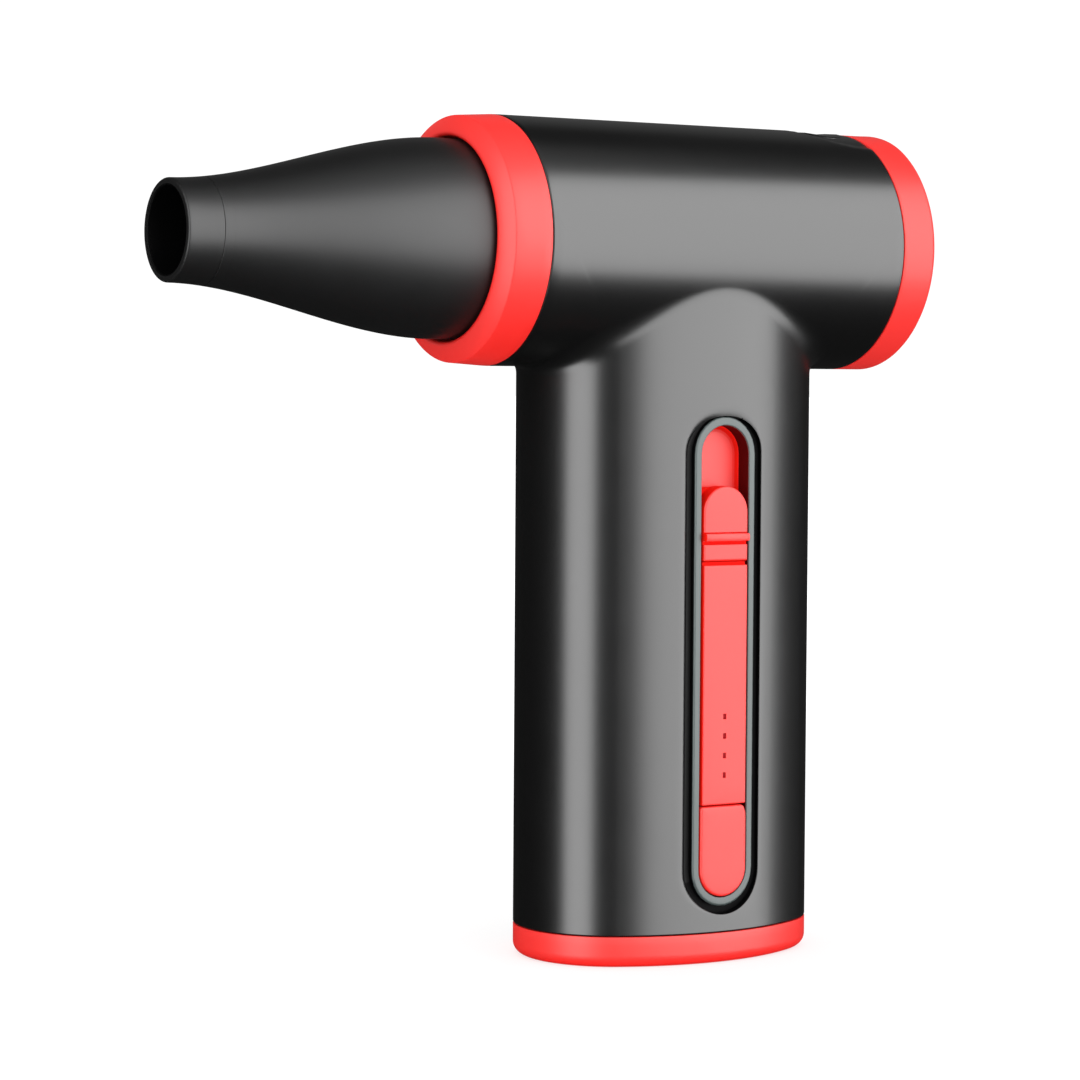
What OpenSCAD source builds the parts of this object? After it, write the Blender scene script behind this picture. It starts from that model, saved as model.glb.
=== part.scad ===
// Cordless car dryer blower: pistol form, ducted axial fan in a round barrel,
// battery handle below it, tapered push-in nozzle in front.
// Origin at the centre of the flat foot, +Z up, air leaves toward -X.

/* [Body] */
// Outside radius of the barrel
barrel_radius = 27; // [26.5:0.5:28]
// Height of the barrel axis above the foot
barrel_axis_height = 157; // [156:1:160]
// Distance from the handle axis to each end of the barrel moulding
barrel_half_length = 46.2; // [46:0.2:48]
// Wall of the barrel and handle moulding
housing_wall = 2; // [1.8:0.1:2.2]
// Half length of the handle section, front to back
handle_half_length = 35; // [34.5:0.5:37]
// How far the barrel stands out beyond each side of the handle
handle_step = 2.2; // [2:0.1:2.4]
// How far the handle's sides bulge out beyond its rounded ends
handle_bulge = 3.4; // [3.2:0.1:3.8]
// Radius of the soft corner between handle and barrel along the handle's sides
fillet_side = 8; // [6:0.5:9]
// Radius of that corner at the handle's front and back
fillet_end = 2.2; // [2:0.1:3]
// Height of the coloured base cap
base_height = 7; // [6.8:0.1:8]

/* [Coloured rings] */
// Length of the front ring ahead of the barrel
front_ring_length = 11.2; // [10.5:0.1:12]
// Distance from the front ring's foremost lip back to the edge of its side
front_ring_edge = 2.4; // [2:0.1:3]
// How much slimmer than the barrel the front ring is at that edge
front_ring_taper = 0.6; // [0.3:0.1:0.9]
// Width of the front ring from its outside to the nozzle's opening
front_ring_wall = 5.1; // [5.1:0.1:5.3]
// Length of the rear ring behind the barrel
rear_ring_length = 10.8; // [10.6:0.1:12]
// Width of the rear ring's dome from its outside to the air intake
rear_ring_wall = 8; // [7.6:0.1:8.6]

/* [Nozzle] */
// Distance from the handle axis to the nozzle mouth
nozzle_reach = 122.4; // [116:0.4:130]
// Outside radius of the nozzle at the mouth
mouth_outer_radius = 10.7; // [10.5:0.1:12]
// Wall of the nozzle at its mouth
mouth_wall = 1.6; // [1.4:0.1:1.8]
// Gap round the nozzle where it enters the front ring
nozzle_gap = 0.5; // [0.4:0.1:0.7]
// Wall of the nozzle
nozzle_wall = 1.7; // [1.5:0.1:1.9]

/* [Control strip] */
// Width of the opening in the control strip's rim
strip_width = 12.5; // [12.3:0.1:12.8]
// Height of the lower end of that opening
strip_bottom = 14.5; // [14.2:0.1:15]
// Height of the upper end of that opening
strip_top = 117.5; // [117:0.5:118.5]
// Width of the metal rim around the opening
rim_width = 1.85; // [1.7:0.05:2]
// Width of the sunk channel around the rim
channel_width = 2.15; // [2:0.05:2.3]
// Height of the bottom of the speed slider at rest
slider_bottom = 88; // [87.8:0.1:88.6]
// Height of the speed slider
slider_height = 16; // [15.6:0.1:16.4]
// Height of the upper end of the fixed plate
plate_top = 86.9; // [86.4:0.1:87.1]
// Height of the joint between fixed plate and port flap
flap_top = 34.6; // [34.2:0.1:35]
// Vertical distance between two charge lights
light_pitch = 4.27; // [4:0.05:4.4]

/* [Fan and motor] */
// Number of impeller blades
blade_count = 11; // [9, 11, 13]
// Radial gap between blade tips and the duct
tip_gap = 0.35; // [0.3:0.05:0.5]
// Number of fixed vanes behind the impeller
vane_count = 9; // [7, 9]
// Radius of the motor shaft
shaft_radius = 1.5; // [1.4:0.1:1.6]

/* [Battery] */
// Radius of one battery cell with its sleeve
cell_radius = 9.15; // [9.05:0.05:9.2]
// Length of one battery cell
cell_length = 65; // [64.5:0.5:65.5]

/* [Hidden] */
// ---- clearances that tie neighbouring pieces together
fit_gap = 0.1;
loose_gap = 0.3;
seam_gap = 0.15;
node_fn = 96;
$fn = node_fn;

// ---- barrel and its two rings
barrel_bore = barrel_radius - housing_wall;
front_face = -barrel_half_length - front_ring_length;
rear_face = barrel_half_length + rear_ring_length;
spigot_radius = barrel_bore - fit_gap;
spigot_length = 5;
spigot_wall = 1.6;
nozzle_socket_radius = barrel_radius - front_ring_wall;
ring_edge_radius = barrel_radius - front_ring_taper;
ring_lip = 0.4;
intake_radius = barrel_radius - rear_ring_wall;
intake_lip = 1.8;
dome_depth = 3;

// ---- grille and filter behind the intake
grille_seat = intake_radius + 2.6;
grille_depth = 2.2;
grille_ring = 1.3;
grille_step = 4.8;
grille_front = rear_face - intake_lip - 0.2 - grille_depth;
filter_front = rear_face - 7.4;
filter_pitch = 3;
filter_wire = 0.5;

// ---- handle section: two end arcs and two shallow side arcs, all tangent
handle_half_width = barrel_radius - handle_step;
handle_end_radius = handle_half_width - handle_bulge;
end_centre = handle_half_length - handle_end_radius;
side_radius = (end_centre * end_centre + handle_half_width * handle_half_width
    - handle_end_radius * handle_end_radius) / (2 * (handle_half_width - handle_end_radius));
side_centre = side_radius - handle_half_width;
arc_span = side_radius - handle_end_radius;
side_angle = asin(end_centre / arc_span);

// ---- base
base_edge = 2.8;
base_screw_x = 24;
base_screw_y = 12;
base_floor = 3;
base_spigot = 3.4;
screw_seat = 3.6;
screw_radius = 0.9;
screw_head_radius = 2.1;
screw_head = 1.6;
post_radius = 3.4;
post_top = base_height + 6.1;
post_rib = 1.6;

// ---- duct
duct_outer = barrel_bore - 1.6;
duct_inner = duct_outer - 1.8;
duct_front = -barrel_half_length + spigot_length + 0.6;
duct_rear = barrel_half_length - spigot_length - 0.6;
damper_width = 5;

// ---- nozzle
mouth_bore_radius = mouth_outer_radius - mouth_wall;
nozzle_root_radius = nozzle_socket_radius - nozzle_gap;
nozzle_shoulder = front_face - 2.6;
nozzle_rear = duct_front - 3.6;
seal_x = -51;
seal_half = 0.9;
seal_groove = 0.8;
groove_x = -nozzle_reach + 9;
groove_half = 1.2;
groove_depth = 0.7;

// ---- control strip, front to back
outside_y = -handle_half_width - 15;
rim_front = -handle_half_width + 0.6;
rim_lip = 0.4;
channel_floor = -handle_half_width + 2.1;
skin_front = rim_front - 0.4;
track_floor = skin_front + 4.3;
tray_back = track_floor + 1.4;
window_wall = 2.4;
window_half = strip_width;
window_top = strip_top + 6.5;
tray_wall = 1.1;
rim_outer = strip_width + 2 * rim_width;
channel_outer = rim_outer + 2 * channel_width;
skin_width = strip_width - 0.5;
tray_outer = strip_width + 2 * tray_wall;
slider_travel = 10;
stem_z = slider_bottom + 2.6;
pot_half_width = 3.6;
pot_top = stem_z + slider_travel + 7.4;
flap_roll = 1.7;
flap_axis_z = flap_top - flap_roll;
flap_axis_y = skin_front + flap_roll;
flap_thickness = 1.8;
light_low = 41.35;
usb_z = 24.2;

// ---- boards and what stands on them
board_front = tray_back + 4.1;
board_thickness = 1.2;
board_bottom = usb_z - 6.2;
board_top = stem_z + 21.4;
driver_thickness = 1.6;
chip_height = 1.1;
chip_half = 2.6;
sink_base = 1.5;
sink_height = 8.1;
sink_pitch = 3.4;
sink_fin = 1.2;
capacitor_radius = 5;
capacitor_height = 20;
solder_gap = 0.05;

// ---- fan and motor along the barrel axis
impeller_rear = 34;
impeller_front = 21;
impeller_hub = 9.2;
blade_tip = duct_inner - tip_gap;
cup_radius = 13.2;
cup_front = -10.6;
cup_rear = 17;
cup_web = 2.4;
bearing_tube = 4.4;
bearing_radius = 3;
shaft_front = -6.6;
shaft_rear = 35.6;
bell_outer = 11.6;
bell_inner = 10.7;
magnet_inner = 9.7;
core_outer = 9.3;
core_front = -4;
core_rear = 9;
cone_front = -32;

// ---- battery
cell_web = 0.8;
cell_pitch = 2 * (cell_radius + fit_gap) + cell_web;
cell_y = 6.4;
cell_bottom = 17;
cell_top = cell_bottom + cell_length;
tab_half = 3.4;
tab_thickness = 0.2;
tab_low = cell_bottom - 0.3;
tab_high = cell_top + 0.45;
cradle_height = 5.4;
driver_z = cell_top + 9;
driver_top = driver_z + driver_thickness;

// ---- power button on top of the barrel
button_x = barrel_half_length - 6.7;
button_length = 18;
button_width = 10;
barrel_top = barrel_axis_height + barrel_radius;
dish_radius = 15;
dish_depth = 0.4;
button_radius = barrel_radius - 0.2;
flange_top = barrel_top - housing_wall - 0.6;
flange_bottom = flange_top - 0.6;
switch_seat = flange_bottom - 1.6;
switch_x = button_x - 2;

// ---- wires from the motor down into the handle
lead_x = -7.4;
lead_hole = 2.9;
lead_radius = 0.55;
lead_bend = barrel_axis_height - 8.6;
lead_end = driver_top + sink_height + 3.3;
cup_hole = 2.5;

// ======== shared shapes ========

// Solid of revolution about the barrel axis; points are [position along X, radius].
module revolve_x(points) {
    translate([0, 0, barrel_axis_height])
        rotate([0, 90, 0])
            rotate_extrude()
                polygon([for (p = points) [p[1], p[0]]]);
}

// Plain tube about the barrel axis.
module tube_x(x0, x1, r_out, r_in) {
    revolve_x([[x0, r_in], [x1, r_in], [x1, r_out], [x0, r_out]]);
}

// Plain rod about the barrel axis.
module rod_x(x0, x1, r) {
    translate([x0, 0, barrel_axis_height])
        rotate([0, 90, 0])
            cylinder(h = x1 - x0, r = r);
}

// Handle outline, shrunk evenly by the inset; end_fn is the fineness of its end arcs.
module handle_section(inset = 0, end_fn = 144) {
    side_r = side_radius - inset;
    end_r = handle_end_radius - inset;
    cut = end_centre + end_r * end_centre / arc_span;
    intersection() {
        translate([0, side_centre])
            circle(r = side_r, $fn = 2 * end_fn);
        translate([0, -side_centre])
            circle(r = side_r, $fn = 2 * end_fn);
        square([2 * cut, 4 * handle_half_width], center = true);
    }
    for (s = [-1, 1])
        intersection() {
            translate([s * end_centre, 0])
                circle(r = end_r, $fn = end_fn);
            translate([s * (cut + handle_half_length), 0])
                square(2 * handle_half_length, center = true);
        }
}

// Upright prism of the handle outline.
module handle_prism(z0, z1, inset = 0) {
    translate([0, 0, z0])
        linear_extrude(z1 - z0)
            handle_section(inset);
}

// Upright prism of the handle outline with a flat foot and a rounded lower edge.
module handle_bowl(z0, z1, edge) {
    steps = 6;
    ledge = 0.02;
    handle_prism(z0, z0 + edge, edge + loose_gap);
    handle_prism(z0 + edge, z1);
    hull()
        for (i = [0:steps])
            translate([0, 0, z0 + ledge + edge - edge * cos(90 * i / steps)])
                linear_extrude(ledge)
                    handle_section(ledge + edge - edge * sin(90 * i / steps), 48);
}

// Round-ended slot shape standing in the XZ plane, between two depths.
module slot_prism(width, z0, z1, y0, y1) {
    translate([0, y1, 0])
        rotate([90, 0, 0])
            linear_extrude(y1 - y0) {
                translate([-width / 2, z0 + width / 2])
                    square([width, z1 - z0 - width]);
                translate([0, z0 + width / 2])
                    circle(d = width, $fn = 72);
                translate([0, z1 - width / 2])
                    circle(d = width, $fn = 72);
            }
}

// Box from two opposite corners.
module box(a, b) {
    translate(a)
        cube(b - a);
}

// Oval plate outline lying flat, long side along X.
module oval_prism(length, width, z0, z1) {
    translate([0, 0, z0])
        linear_extrude(z1 - z0) {
            square([length - width, width], center = true);
            for (s = [-1, 1])
                translate([s * (length - width) / 2, 0])
                    circle(d = width, $fn = 72);
        }
}

// Places children at the four base screw positions.
module at_base_screws() {
    for (sx = [-1, 1], sy = [-1, 1])
        translate([sx * base_screw_x, sy * base_screw_y, 0])
            children();
}

// Screw posts of the base, each tied to the handle wall by a rib.
module base_posts() {
    at_base_screws()
        cylinder(h = post_top, r = post_radius);
    for (sx = [-1, 1], s = [0, 1])
        mirror([0, s, 0])
            translate([sx * base_screw_x, 0, 0])
                box([-post_rib / 2, base_screw_y, 0], [post_rib / 2, base_screw_y + 6, post_top]);
}

// Outside radius of the nozzle at a given X.
function nozzle_r(x) =
    let (u = min(1, max(0, (x + nozzle_reach) / (nozzle_shoulder + nozzle_reach))))
    mouth_outer_radius + (nozzle_root_radius - mouth_outer_radius) * u * u * (3 - 2 * u);

// ======== soft corner between handle and barrel ========

// Point of the handle outline that faces the given direction.
function outline_at(a) =
    abs(cos(a)) > end_centre / arc_span
    ? [sign(cos(a)) * end_centre + handle_end_radius * cos(a), handle_end_radius * sin(a)]
    : [side_radius * cos(a), side_radius * sin(a) - sign(sin(a)) * side_centre];

// Radius of the ball that rolls round the corner, wide at the sides and tight at the ends.
function corner_ball(a) =
    let (u = abs(sin(a)))
    fillet_end + (fillet_side - fillet_end) * pow(u * u * (3 - 2 * u), 1.5);

// One section of the corner, from inside the handle's wall over the ball's arc into the barrel.
function corner_section(a, steps, proud, bury) =
    let (r = corner_ball(a), p = outline_at(a) + r * [cos(a), sin(a)],
        reach = barrel_radius + r, drop = sqrt(reach * reach - p[1] * p[1]),
        middle = [p[0], p[1], barrel_axis_height - drop],
        h = [-cos(a), -sin(a), 0], b = [0, -p[1] / reach, drop / reach],
        turn = acos(h * b))
    concat(
        [middle + (r + bury) * h + 4 * bury * (cos(turn) * h - b) / sin(turn)],
        [for (i = [0:steps])
            middle + (r - proud) * (sin(turn - turn * i / steps) * h
                + sin(turn * i / steps) * b) / sin(turn)],
        [middle + (r + bury) * b + 4 * bury * (cos(turn) * b - h) / sin(turn)]);

// The corner as a closed collar; its inside is taken away with the handle's hollow.
module soft_corner() {
    sections = 72;
    steps = 5;
    rows = steps + 3;
    points = [for (j = [0:sections - 1], p = corner_section(360 * j / sections, steps, 0.06, 0.3))
        p];
    low = len(points);
    polyhedron(
        points = concat(points, [
            [0, 0, barrel_axis_height - barrel_radius - fillet_end - 0.8],
            [0, 0, barrel_axis_height - barrel_bore + 1]]),
        faces = concat(
            [for (j = [0:sections - 1], i = [0:rows - 2], half = [0, 1])
                let (a = j * rows + i, b = (j + 1) % sections * rows + i)
                half == 0 ? [a, a + 1, b] : [a + 1, b + 1, b]],
            [for (j = [0:sections - 1]) [low, j * rows, (j + 1) % sections * rows]],
            [for (j = [0:sections - 1])
                [low + 1, (j + 1) % sections * rows + rows - 1, j * rows + rows - 1]]));
}

// ======== housing and base ========

module main_housing() {
    color([0.13, 0.13, 0.14])
        difference() {
            union() {
                rod_x(-barrel_half_length, barrel_half_length, barrel_radius);
                handle_prism(base_height, barrel_axis_height - 4);
                soft_corner();
            }
            rod_x(-barrel_half_length - 1, barrel_half_length + 1, barrel_bore);
            difference() {
                handle_prism(base_height - 1, barrel_axis_height - 4, housing_wall);
                rod_x(-60, 60, barrel_radius);
                box([-window_half, outside_y, 0],
                    [window_half, channel_floor + window_wall, window_top]);
                base_posts();
            }
            at_base_screws()
                translate([0, 0, base_height - 1])
                    cylinder(h = post_top, r = screw_radius + 0.05);
            slot_prism(channel_outer, strip_bottom - rim_width - channel_width,
                strip_top + rim_width + channel_width - 1.2, outside_y, channel_floor);
            slot_prism(tray_outer + 2 * fit_gap, strip_bottom - tray_wall - fit_gap,
                strip_top + tray_wall + fit_gap, outside_y, 0);
            translate([lead_x, 0, barrel_axis_height - barrel_radius - 4])
                cylinder(h = 12, r = lead_hole);
            difference() {
                translate([barrel_half_length, 0, barrel_axis_height])
                    cylinder(h = barrel_radius + 2, r = dish_radius);
                rod_x(-60, 60, barrel_radius - dish_depth);
            }
            translate([button_x, 0, 0])
                rotate([0, 0, 90])
                    oval_prism(button_length + 2 * fit_gap, button_width + 2 * fit_gap,
                        barrel_axis_height, barrel_top + 5);
        }
}

module base_cap() {
    color([0.88, 0.18, 0.15])
        difference() {
            union() {
                handle_bowl(0, base_height - seam_gap, base_edge);
                handle_prism(base_floor - 1, base_height + base_spigot,
                    housing_wall + fit_gap);
            }
            difference() {
                handle_prism(base_floor, post_top, housing_wall + 1.8);
                at_base_screws()
                    cylinder(h = base_height - seam_gap, r = post_radius + 1.4);
            }
            box([-window_half - loose_gap, outside_y, base_height - seam_gap],
                [window_half + loose_gap, channel_floor + window_wall + loose_gap, post_top]);
            at_base_screws() {
                translate([0, 0, -1])
                    cylinder(h = post_top, r = screw_radius + 0.4);
                translate([0, 0, -1])
                    cylinder(h = screw_seat + 1, r = screw_head_radius + loose_gap);
                translate([0, 0, base_height - seam_gap])
                    cylinder(h = post_top, r = post_radius + 1.4);
            }
        }
}

module base_screws() {
    color([0.62, 0.63, 0.65])
        at_base_screws()
            difference() {
                union() {
                    translate([0, 0, screw_seat - fit_gap - screw_head])
                        cylinder(h = screw_head, r = screw_head_radius);
                    translate([0, 0, screw_seat - 2 * fit_gap])
                        cylinder(h = post_top - screw_seat - 1.2, r = screw_radius);
                }
                translate([0, 0, screw_seat - fit_gap - screw_head - 1])
                    cylinder(h = 1.8, r = screw_radius, $fn = 6);
            }
}

// ======== rings and intake ========

module front_ring() {
    steps = 8;
    lip_radius = nozzle_socket_radius + ring_lip;
    color([0.88, 0.18, 0.15])
        revolve_x(concat(
            [for (i = [0:steps]) [
                front_face + front_ring_edge * pow(i / steps, 1.4),
                lip_radius + (ring_edge_radius - lip_radius) * i / steps]],
            [[-barrel_half_length - seam_gap, barrel_radius],
                [-barrel_half_length - seam_gap, spigot_radius],
                [-barrel_half_length + spigot_length, spigot_radius],
                [-barrel_half_length + spigot_length, nozzle_socket_radius],
                [front_face + ring_lip, nozzle_socket_radius]]));
}

module rear_ring() {
    steps = 8;
    color([0.88, 0.18, 0.15])
        difference() {
            revolve_x(concat(
                [[barrel_half_length - spigot_length, spigot_radius - spigot_wall],
                    [barrel_half_length - spigot_length, spigot_radius],
                    [barrel_half_length + seam_gap, spigot_radius],
                    [barrel_half_length + seam_gap, barrel_radius]],
                [for (i = [0:steps]) [
                    rear_face - dome_depth + dome_depth * sin(90 * i / steps),
                    intake_radius + rear_ring_wall * cos(90 * i / steps)]],
                [[rear_face - intake_lip, intake_radius],
                    [rear_face - intake_lip, grille_seat],
                    [rear_face - 9, grille_seat],
                    [rear_face - 9, spigot_radius - spigot_wall]]));
            box([0, -9.6, switch_seat], [barrel_half_length, 9.6, barrel_top]);
        }
}

module intake_grille() {
    color([0.10, 0.10, 0.11])
        translate([grille_front, 0, barrel_axis_height])
            rotate([0, 90, 0])
                linear_extrude(grille_depth) {
                    for (i = [0:3])
                        difference() {
                            circle(r = grille_seat - 0.2 - i * grille_step);
                            circle(r = grille_seat - 0.2 - i * grille_step - grille_ring);
                        }
                    circle(r = 2.6);
                    for (a = [0:30:150])
                        rotate([0, 0, a])
                            square([2 * grille_seat - 2.2, 1.1], center = true);
                }
}

module filter_mesh() {
    color([0.45, 0.46, 0.48])
        translate([filter_front + 0.8, 0, barrel_axis_height])
            rotate([0, 90, 0])
                linear_extrude(0.4)
                    intersection() {
                        circle(r = grille_seat - 1.4);
                        union()
                            for (i = [-6:6]) {
                                translate([i * filter_pitch, 0])
                                    square([filter_wire, 2 * barrel_radius], center = true);
                                translate([0, i * filter_pitch])
                                    square([2 * barrel_radius, filter_wire], center = true);
                            }
                    }
}

module filter_frame() {
    color([0.16, 0.16, 0.17])
        revolve_x([[filter_front, grille_seat - 2.4], [filter_front + 0.7, grille_seat - 2.4],
            [filter_front + 0.7, grille_seat - 1.3], [filter_front + 1.3, grille_seat - 1.3],
            [filter_front + 1.3, grille_seat - 2], [grille_front - loose_gap, grille_seat - 2],
            [grille_front - loose_gap, grille_seat - loose_gap],
            [filter_front, grille_seat - loose_gap]]);
}

// ======== nozzle ========

module nozzle() {
    steps = 20;
    x0 = -nozzle_reach;
    color([0.07, 0.07, 0.08])
        revolve_x(concat(
            [[x0, mouth_bore_radius + 0.5], [x0 + 0.4, mouth_bore_radius],
                [x0 + 8.4, mouth_bore_radius]],
            [for (i = [4:steps]) let (x = x0 + (nozzle_shoulder - x0) * i / steps)
                [x, nozzle_r(x) - nozzle_wall]],
            [[nozzle_rear, nozzle_root_radius - nozzle_wall],
                [nozzle_rear, nozzle_root_radius - 0.5],
                [nozzle_rear + 0.5, nozzle_root_radius],
                [seal_x + seal_half, nozzle_root_radius],
                [seal_x + seal_half, nozzle_root_radius - seal_groove],
                [seal_x - seal_half, nozzle_root_radius - seal_groove],
                [seal_x - seal_half, nozzle_root_radius]],
            [for (i = [steps:-1:4]) let (x = x0 + (nozzle_shoulder - x0) * i / steps)
                [x, nozzle_r(x)]],
            [[groove_x + groove_half, nozzle_r(groove_x + groove_half)],
                [groove_x + groove_half, nozzle_r(groove_x) - groove_depth],
                [groove_x - groove_half, nozzle_r(groove_x) - groove_depth],
                [groove_x - groove_half, nozzle_r(groove_x - groove_half)]],
            [for (i = [2:-1:1]) let (x = x0 + (nozzle_shoulder - x0) * i / steps)
                [x, nozzle_r(x)]],
            [[x0 + 0.6, mouth_outer_radius], [x0, mouth_outer_radius - 0.5]]));
}

module nozzle_seal() {
    color([0.05, 0.05, 0.05])
        tube_x(seal_x - seal_half + 0.1, seal_x + seal_half - 0.1,
            nozzle_socket_radius - 0.05, nozzle_root_radius - seal_groove + 0.05);
}

module nozzle_band() {
    half = groove_half - seam_gap;
    bed = nozzle_r(groove_x) - groove_depth + 0.05;
    color([0.09, 0.09, 0.10])
        revolve_x([[groove_x - half, bed], [groove_x + half, bed],
            [groove_x + half, nozzle_r(groove_x + half)],
            [groove_x - half, nozzle_r(groove_x - half)]]);
}

// ======== duct, fan and motor ========

module fan_duct() {
    color([0.20, 0.20, 0.21])
        difference() {
            revolve_x([[duct_front, duct_inner + 0.4], [duct_front, duct_outer],
                [duct_rear, duct_outer], [duct_rear, duct_outer - 0.6],
                [duct_rear - 0.5, duct_inner + 0.2], [duct_rear - 2, duct_inner],
                [duct_front + 2, duct_inner]]);
            box([button_x - 6, -9, switch_seat], [duct_rear + 1, 9, barrel_top]);
            translate([lead_x, 0, barrel_axis_height - barrel_radius])
                cylinder(h = 12, r = lead_hole);
        }
}

module duct_damper() {
    color([0.08, 0.08, 0.08])
        for (x = [duct_front + 8, duct_rear - 16])
            tube_x(x, x + damper_width, barrel_bore - 0.04, duct_outer + 0.04);
}

// Blade wall: part of a thin cylinder whose axis stands radially.
module blade_wall(bend_radius, thick, x_shift, t_shift, r0, r1) {
    translate([x_shift, t_shift, r0])
        difference() {
            cylinder(h = r1 - r0, r = bend_radius + thick / 2);
            translate([0, 0, -1])
                cylinder(h = r1 - r0 + 2, r = bend_radius - thick / 2);
        }
}

module stator_vanes() {
    band_front = -6;
    band_rear = 12;
    vane_front = band_front + 0.5;
    vane_rear = band_rear - 0.5;
    web_rear = cup_front + cup_web;
    bearing_bore = bearing_radius + 0.02;
    color([0.16, 0.16, 0.17])
        union() {
            difference() {
                revolve_x([[cup_front, 0], [cup_front, cup_radius], [cup_rear, cup_radius],
                    [cup_rear, cup_radius - 1], [web_rear, cup_radius - 1],
                    [web_rear, bearing_tube], [core_rear + 1.6, bearing_tube],
                    [core_rear + 1.6, bearing_bore], [web_rear, bearing_bore],
                    [web_rear, 0]]);
                translate([lead_x, 0, barrel_axis_height - cup_radius - 2])
                    cylinder(h = 4, r = cup_hole);
            }
            tube_x(band_front, band_rear, duct_inner - 0.02, duct_inner - 1.1);
            intersection() {
                tube_x(vane_front, vane_rear, duct_inner - 0.6, cup_radius - 0.5);
                translate([0, 0, barrel_axis_height])
                    for (i = [0:vane_count - 1])
                        rotate([360 / vane_count * i, 0, 0])
                            intersection() {
                                blade_wall(26, 1.1, band_front, -26, 5, duct_inner + 2);
                                translate([band_front, -10, 5])
                                    cube([band_rear - band_front, 13, duct_inner]);
                            }
            }
        }
}

module impeller() {
    color([0.72, 0.74, 0.76])
        union() {
            difference() {
                revolve_x([[impeller_front, 0], [impeller_front, impeller_hub],
                    [impeller_rear - 1, impeller_hub], [impeller_rear, impeller_hub - 1],
                    [impeller_rear, 0]]);
                rod_x(impeller_front - 1, impeller_rear + 1, shaft_radius + 0.01);
                tube_x(impeller_front - 1, impeller_front + 7, impeller_hub - 1.2, 4);
            }
            intersection() {
                tube_x(impeller_front, impeller_rear, blade_tip, impeller_hub - 0.6);
                translate([0, 0, barrel_axis_height])
                    for (i = [0:blade_count - 1])
                        rotate([360 / blade_count * i, 0, 0])
                            intersection() {
                                blade_wall(15.5, 1.1, impeller_front, -15.5, 4, blade_tip + 2);
                                translate([impeller_front - 1, -10, 4])
                                    cube([impeller_rear - impeller_front + 2, 13, blade_tip]);
                            }
            }
        }
}

module impeller_spinner() {
    steps = 8;
    r = impeller_hub - 0.4;
    color([0.55, 0.57, 0.60])
        difference() {
            revolve_x(concat([[impeller_rear + 0.1, 0], [impeller_rear + 0.1, r]],
                [for (i = [1:steps]) [
                    impeller_rear + 0.6 + 6 * sin(90 * i / steps),
                    r * cos(90 * i / steps)]]));
            rod_x(impeller_rear - 1, shaft_rear + 0.2, shaft_radius + 0.05);
        }
}

module motor_shaft() {
    color([0.78, 0.79, 0.80])
        rod_x(shaft_front, shaft_rear, shaft_radius);
}

module motor_bell() {
    color([0.40, 0.41, 0.44])
        difference() {
            union() {
                tube_x(core_front - 1.6, 15, bell_outer, bell_inner);
                rod_x(13.4, 15, bell_outer - 0.2);
                rod_x(12, 18.6, 3.6);
            }
            rod_x(11, 20, shaft_radius + 0.01);
            translate([0, 0, barrel_axis_height])
                for (a = [0:60:300])
                    rotate([a, 0, 0])
                        translate([12, 0, 7])
                            rotate([0, 90, 0])
                                cylinder(h = 5, r = 1.8);
        }
}

module rotor_magnets() {
    color([0.50, 0.50, 0.53])
        difference() {
            tube_x(core_front - 0.6, core_rear + 1, bell_inner - 0.03, magnet_inner);
            translate([0, 0, barrel_axis_height])
                for (a = [0:30:150])
                    rotate([a, 0, 0])
                        cube([60, 0.7, 40], center = true);
        }
}

module stator_core() {
    color([0.62, 0.63, 0.66])
        translate([core_front, 0, barrel_axis_height])
            rotate([0, 90, 0])
                linear_extrude(core_rear - core_front) {
                    difference() {
                        circle(r = 5.6);
                        circle(r = bearing_tube + 0.04);
                    }
                    for (i = [0:8])
                        rotate([0, 0, 40 * i]) {
                            translate([5, -0.8])
                                square([3.4, 1.6]);
                            intersection() {
                                difference() {
                                    circle(r = core_outer);
                                    circle(r = core_outer - 1);
                                }
                                translate([7, -2.3])
                                    square([3, 4.6]);
                            }
                        }
                }
}

module stator_windings() {
    color([0.75, 0.42, 0.18])
        translate([0, 0, barrel_axis_height])
            for (i = [0:8])
                rotate([40 * i + 180, 0, 0])
                    difference() {
                        translate([core_front - 1.1, -1.9, 5.9])
                            cube([core_rear - core_front + 2.2, 3.8, 2.1]);
                        translate([core_front - 0.05, -0.85, 5])
                            cube([core_rear - core_front + 0.1, 1.7, 4]);
                    }
}

module front_bearing() {
    color([0.70, 0.71, 0.73])
        tube_x(cup_front + cup_web + 0.3, cup_front + cup_web + 2.8, bearing_radius,
            shaft_radius + 0.02);
}

module rear_bearing() {
    color([0.70, 0.71, 0.73])
        tube_x(core_rear - 1.2, core_rear + 1.3, bearing_radius, shaft_radius + 0.02);
}

module tail_cone() {
    steps = 8;
    len = cup_front - 0.1 - cone_front;
    r = cup_radius;
    color([0.16, 0.16, 0.17])
        difference() {
            revolve_x(concat(
                [for (i = [0:steps]) [
                    cone_front + len * i / steps,
                    1.5 + (r - 1.5) * sin(90 * i / steps)]],
                [[cup_front - 0.1, 0], [cone_front, 0]]));
            revolve_x(concat(
                [for (i = [1:steps]) [
                    cone_front + len * i / steps,
                    (r - 1.5) * sin(90 * i / steps) * 0.9]],
                [[cup_front + 1, (r - 1.5) * 0.9], [cup_front + 1, 0],
                    [cone_front + len / steps, 0]]));
        }
}

// ======== control strip on the side of the handle ========

module strip_rim() {
    color([0.42, 0.46, 0.46])
        difference() {
            slot_prism(rim_outer, strip_bottom - rim_width, strip_top + rim_width,
                rim_front, channel_floor - 0.05);
            slot_prism(strip_width, strip_bottom, strip_top, rim_front - 1, 0);
            slot_prism(tray_outer + 2 * fit_gap, strip_bottom - tray_wall - fit_gap,
                strip_top + tray_wall + fit_gap, rim_front + rim_lip, 0);
        }
}

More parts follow.
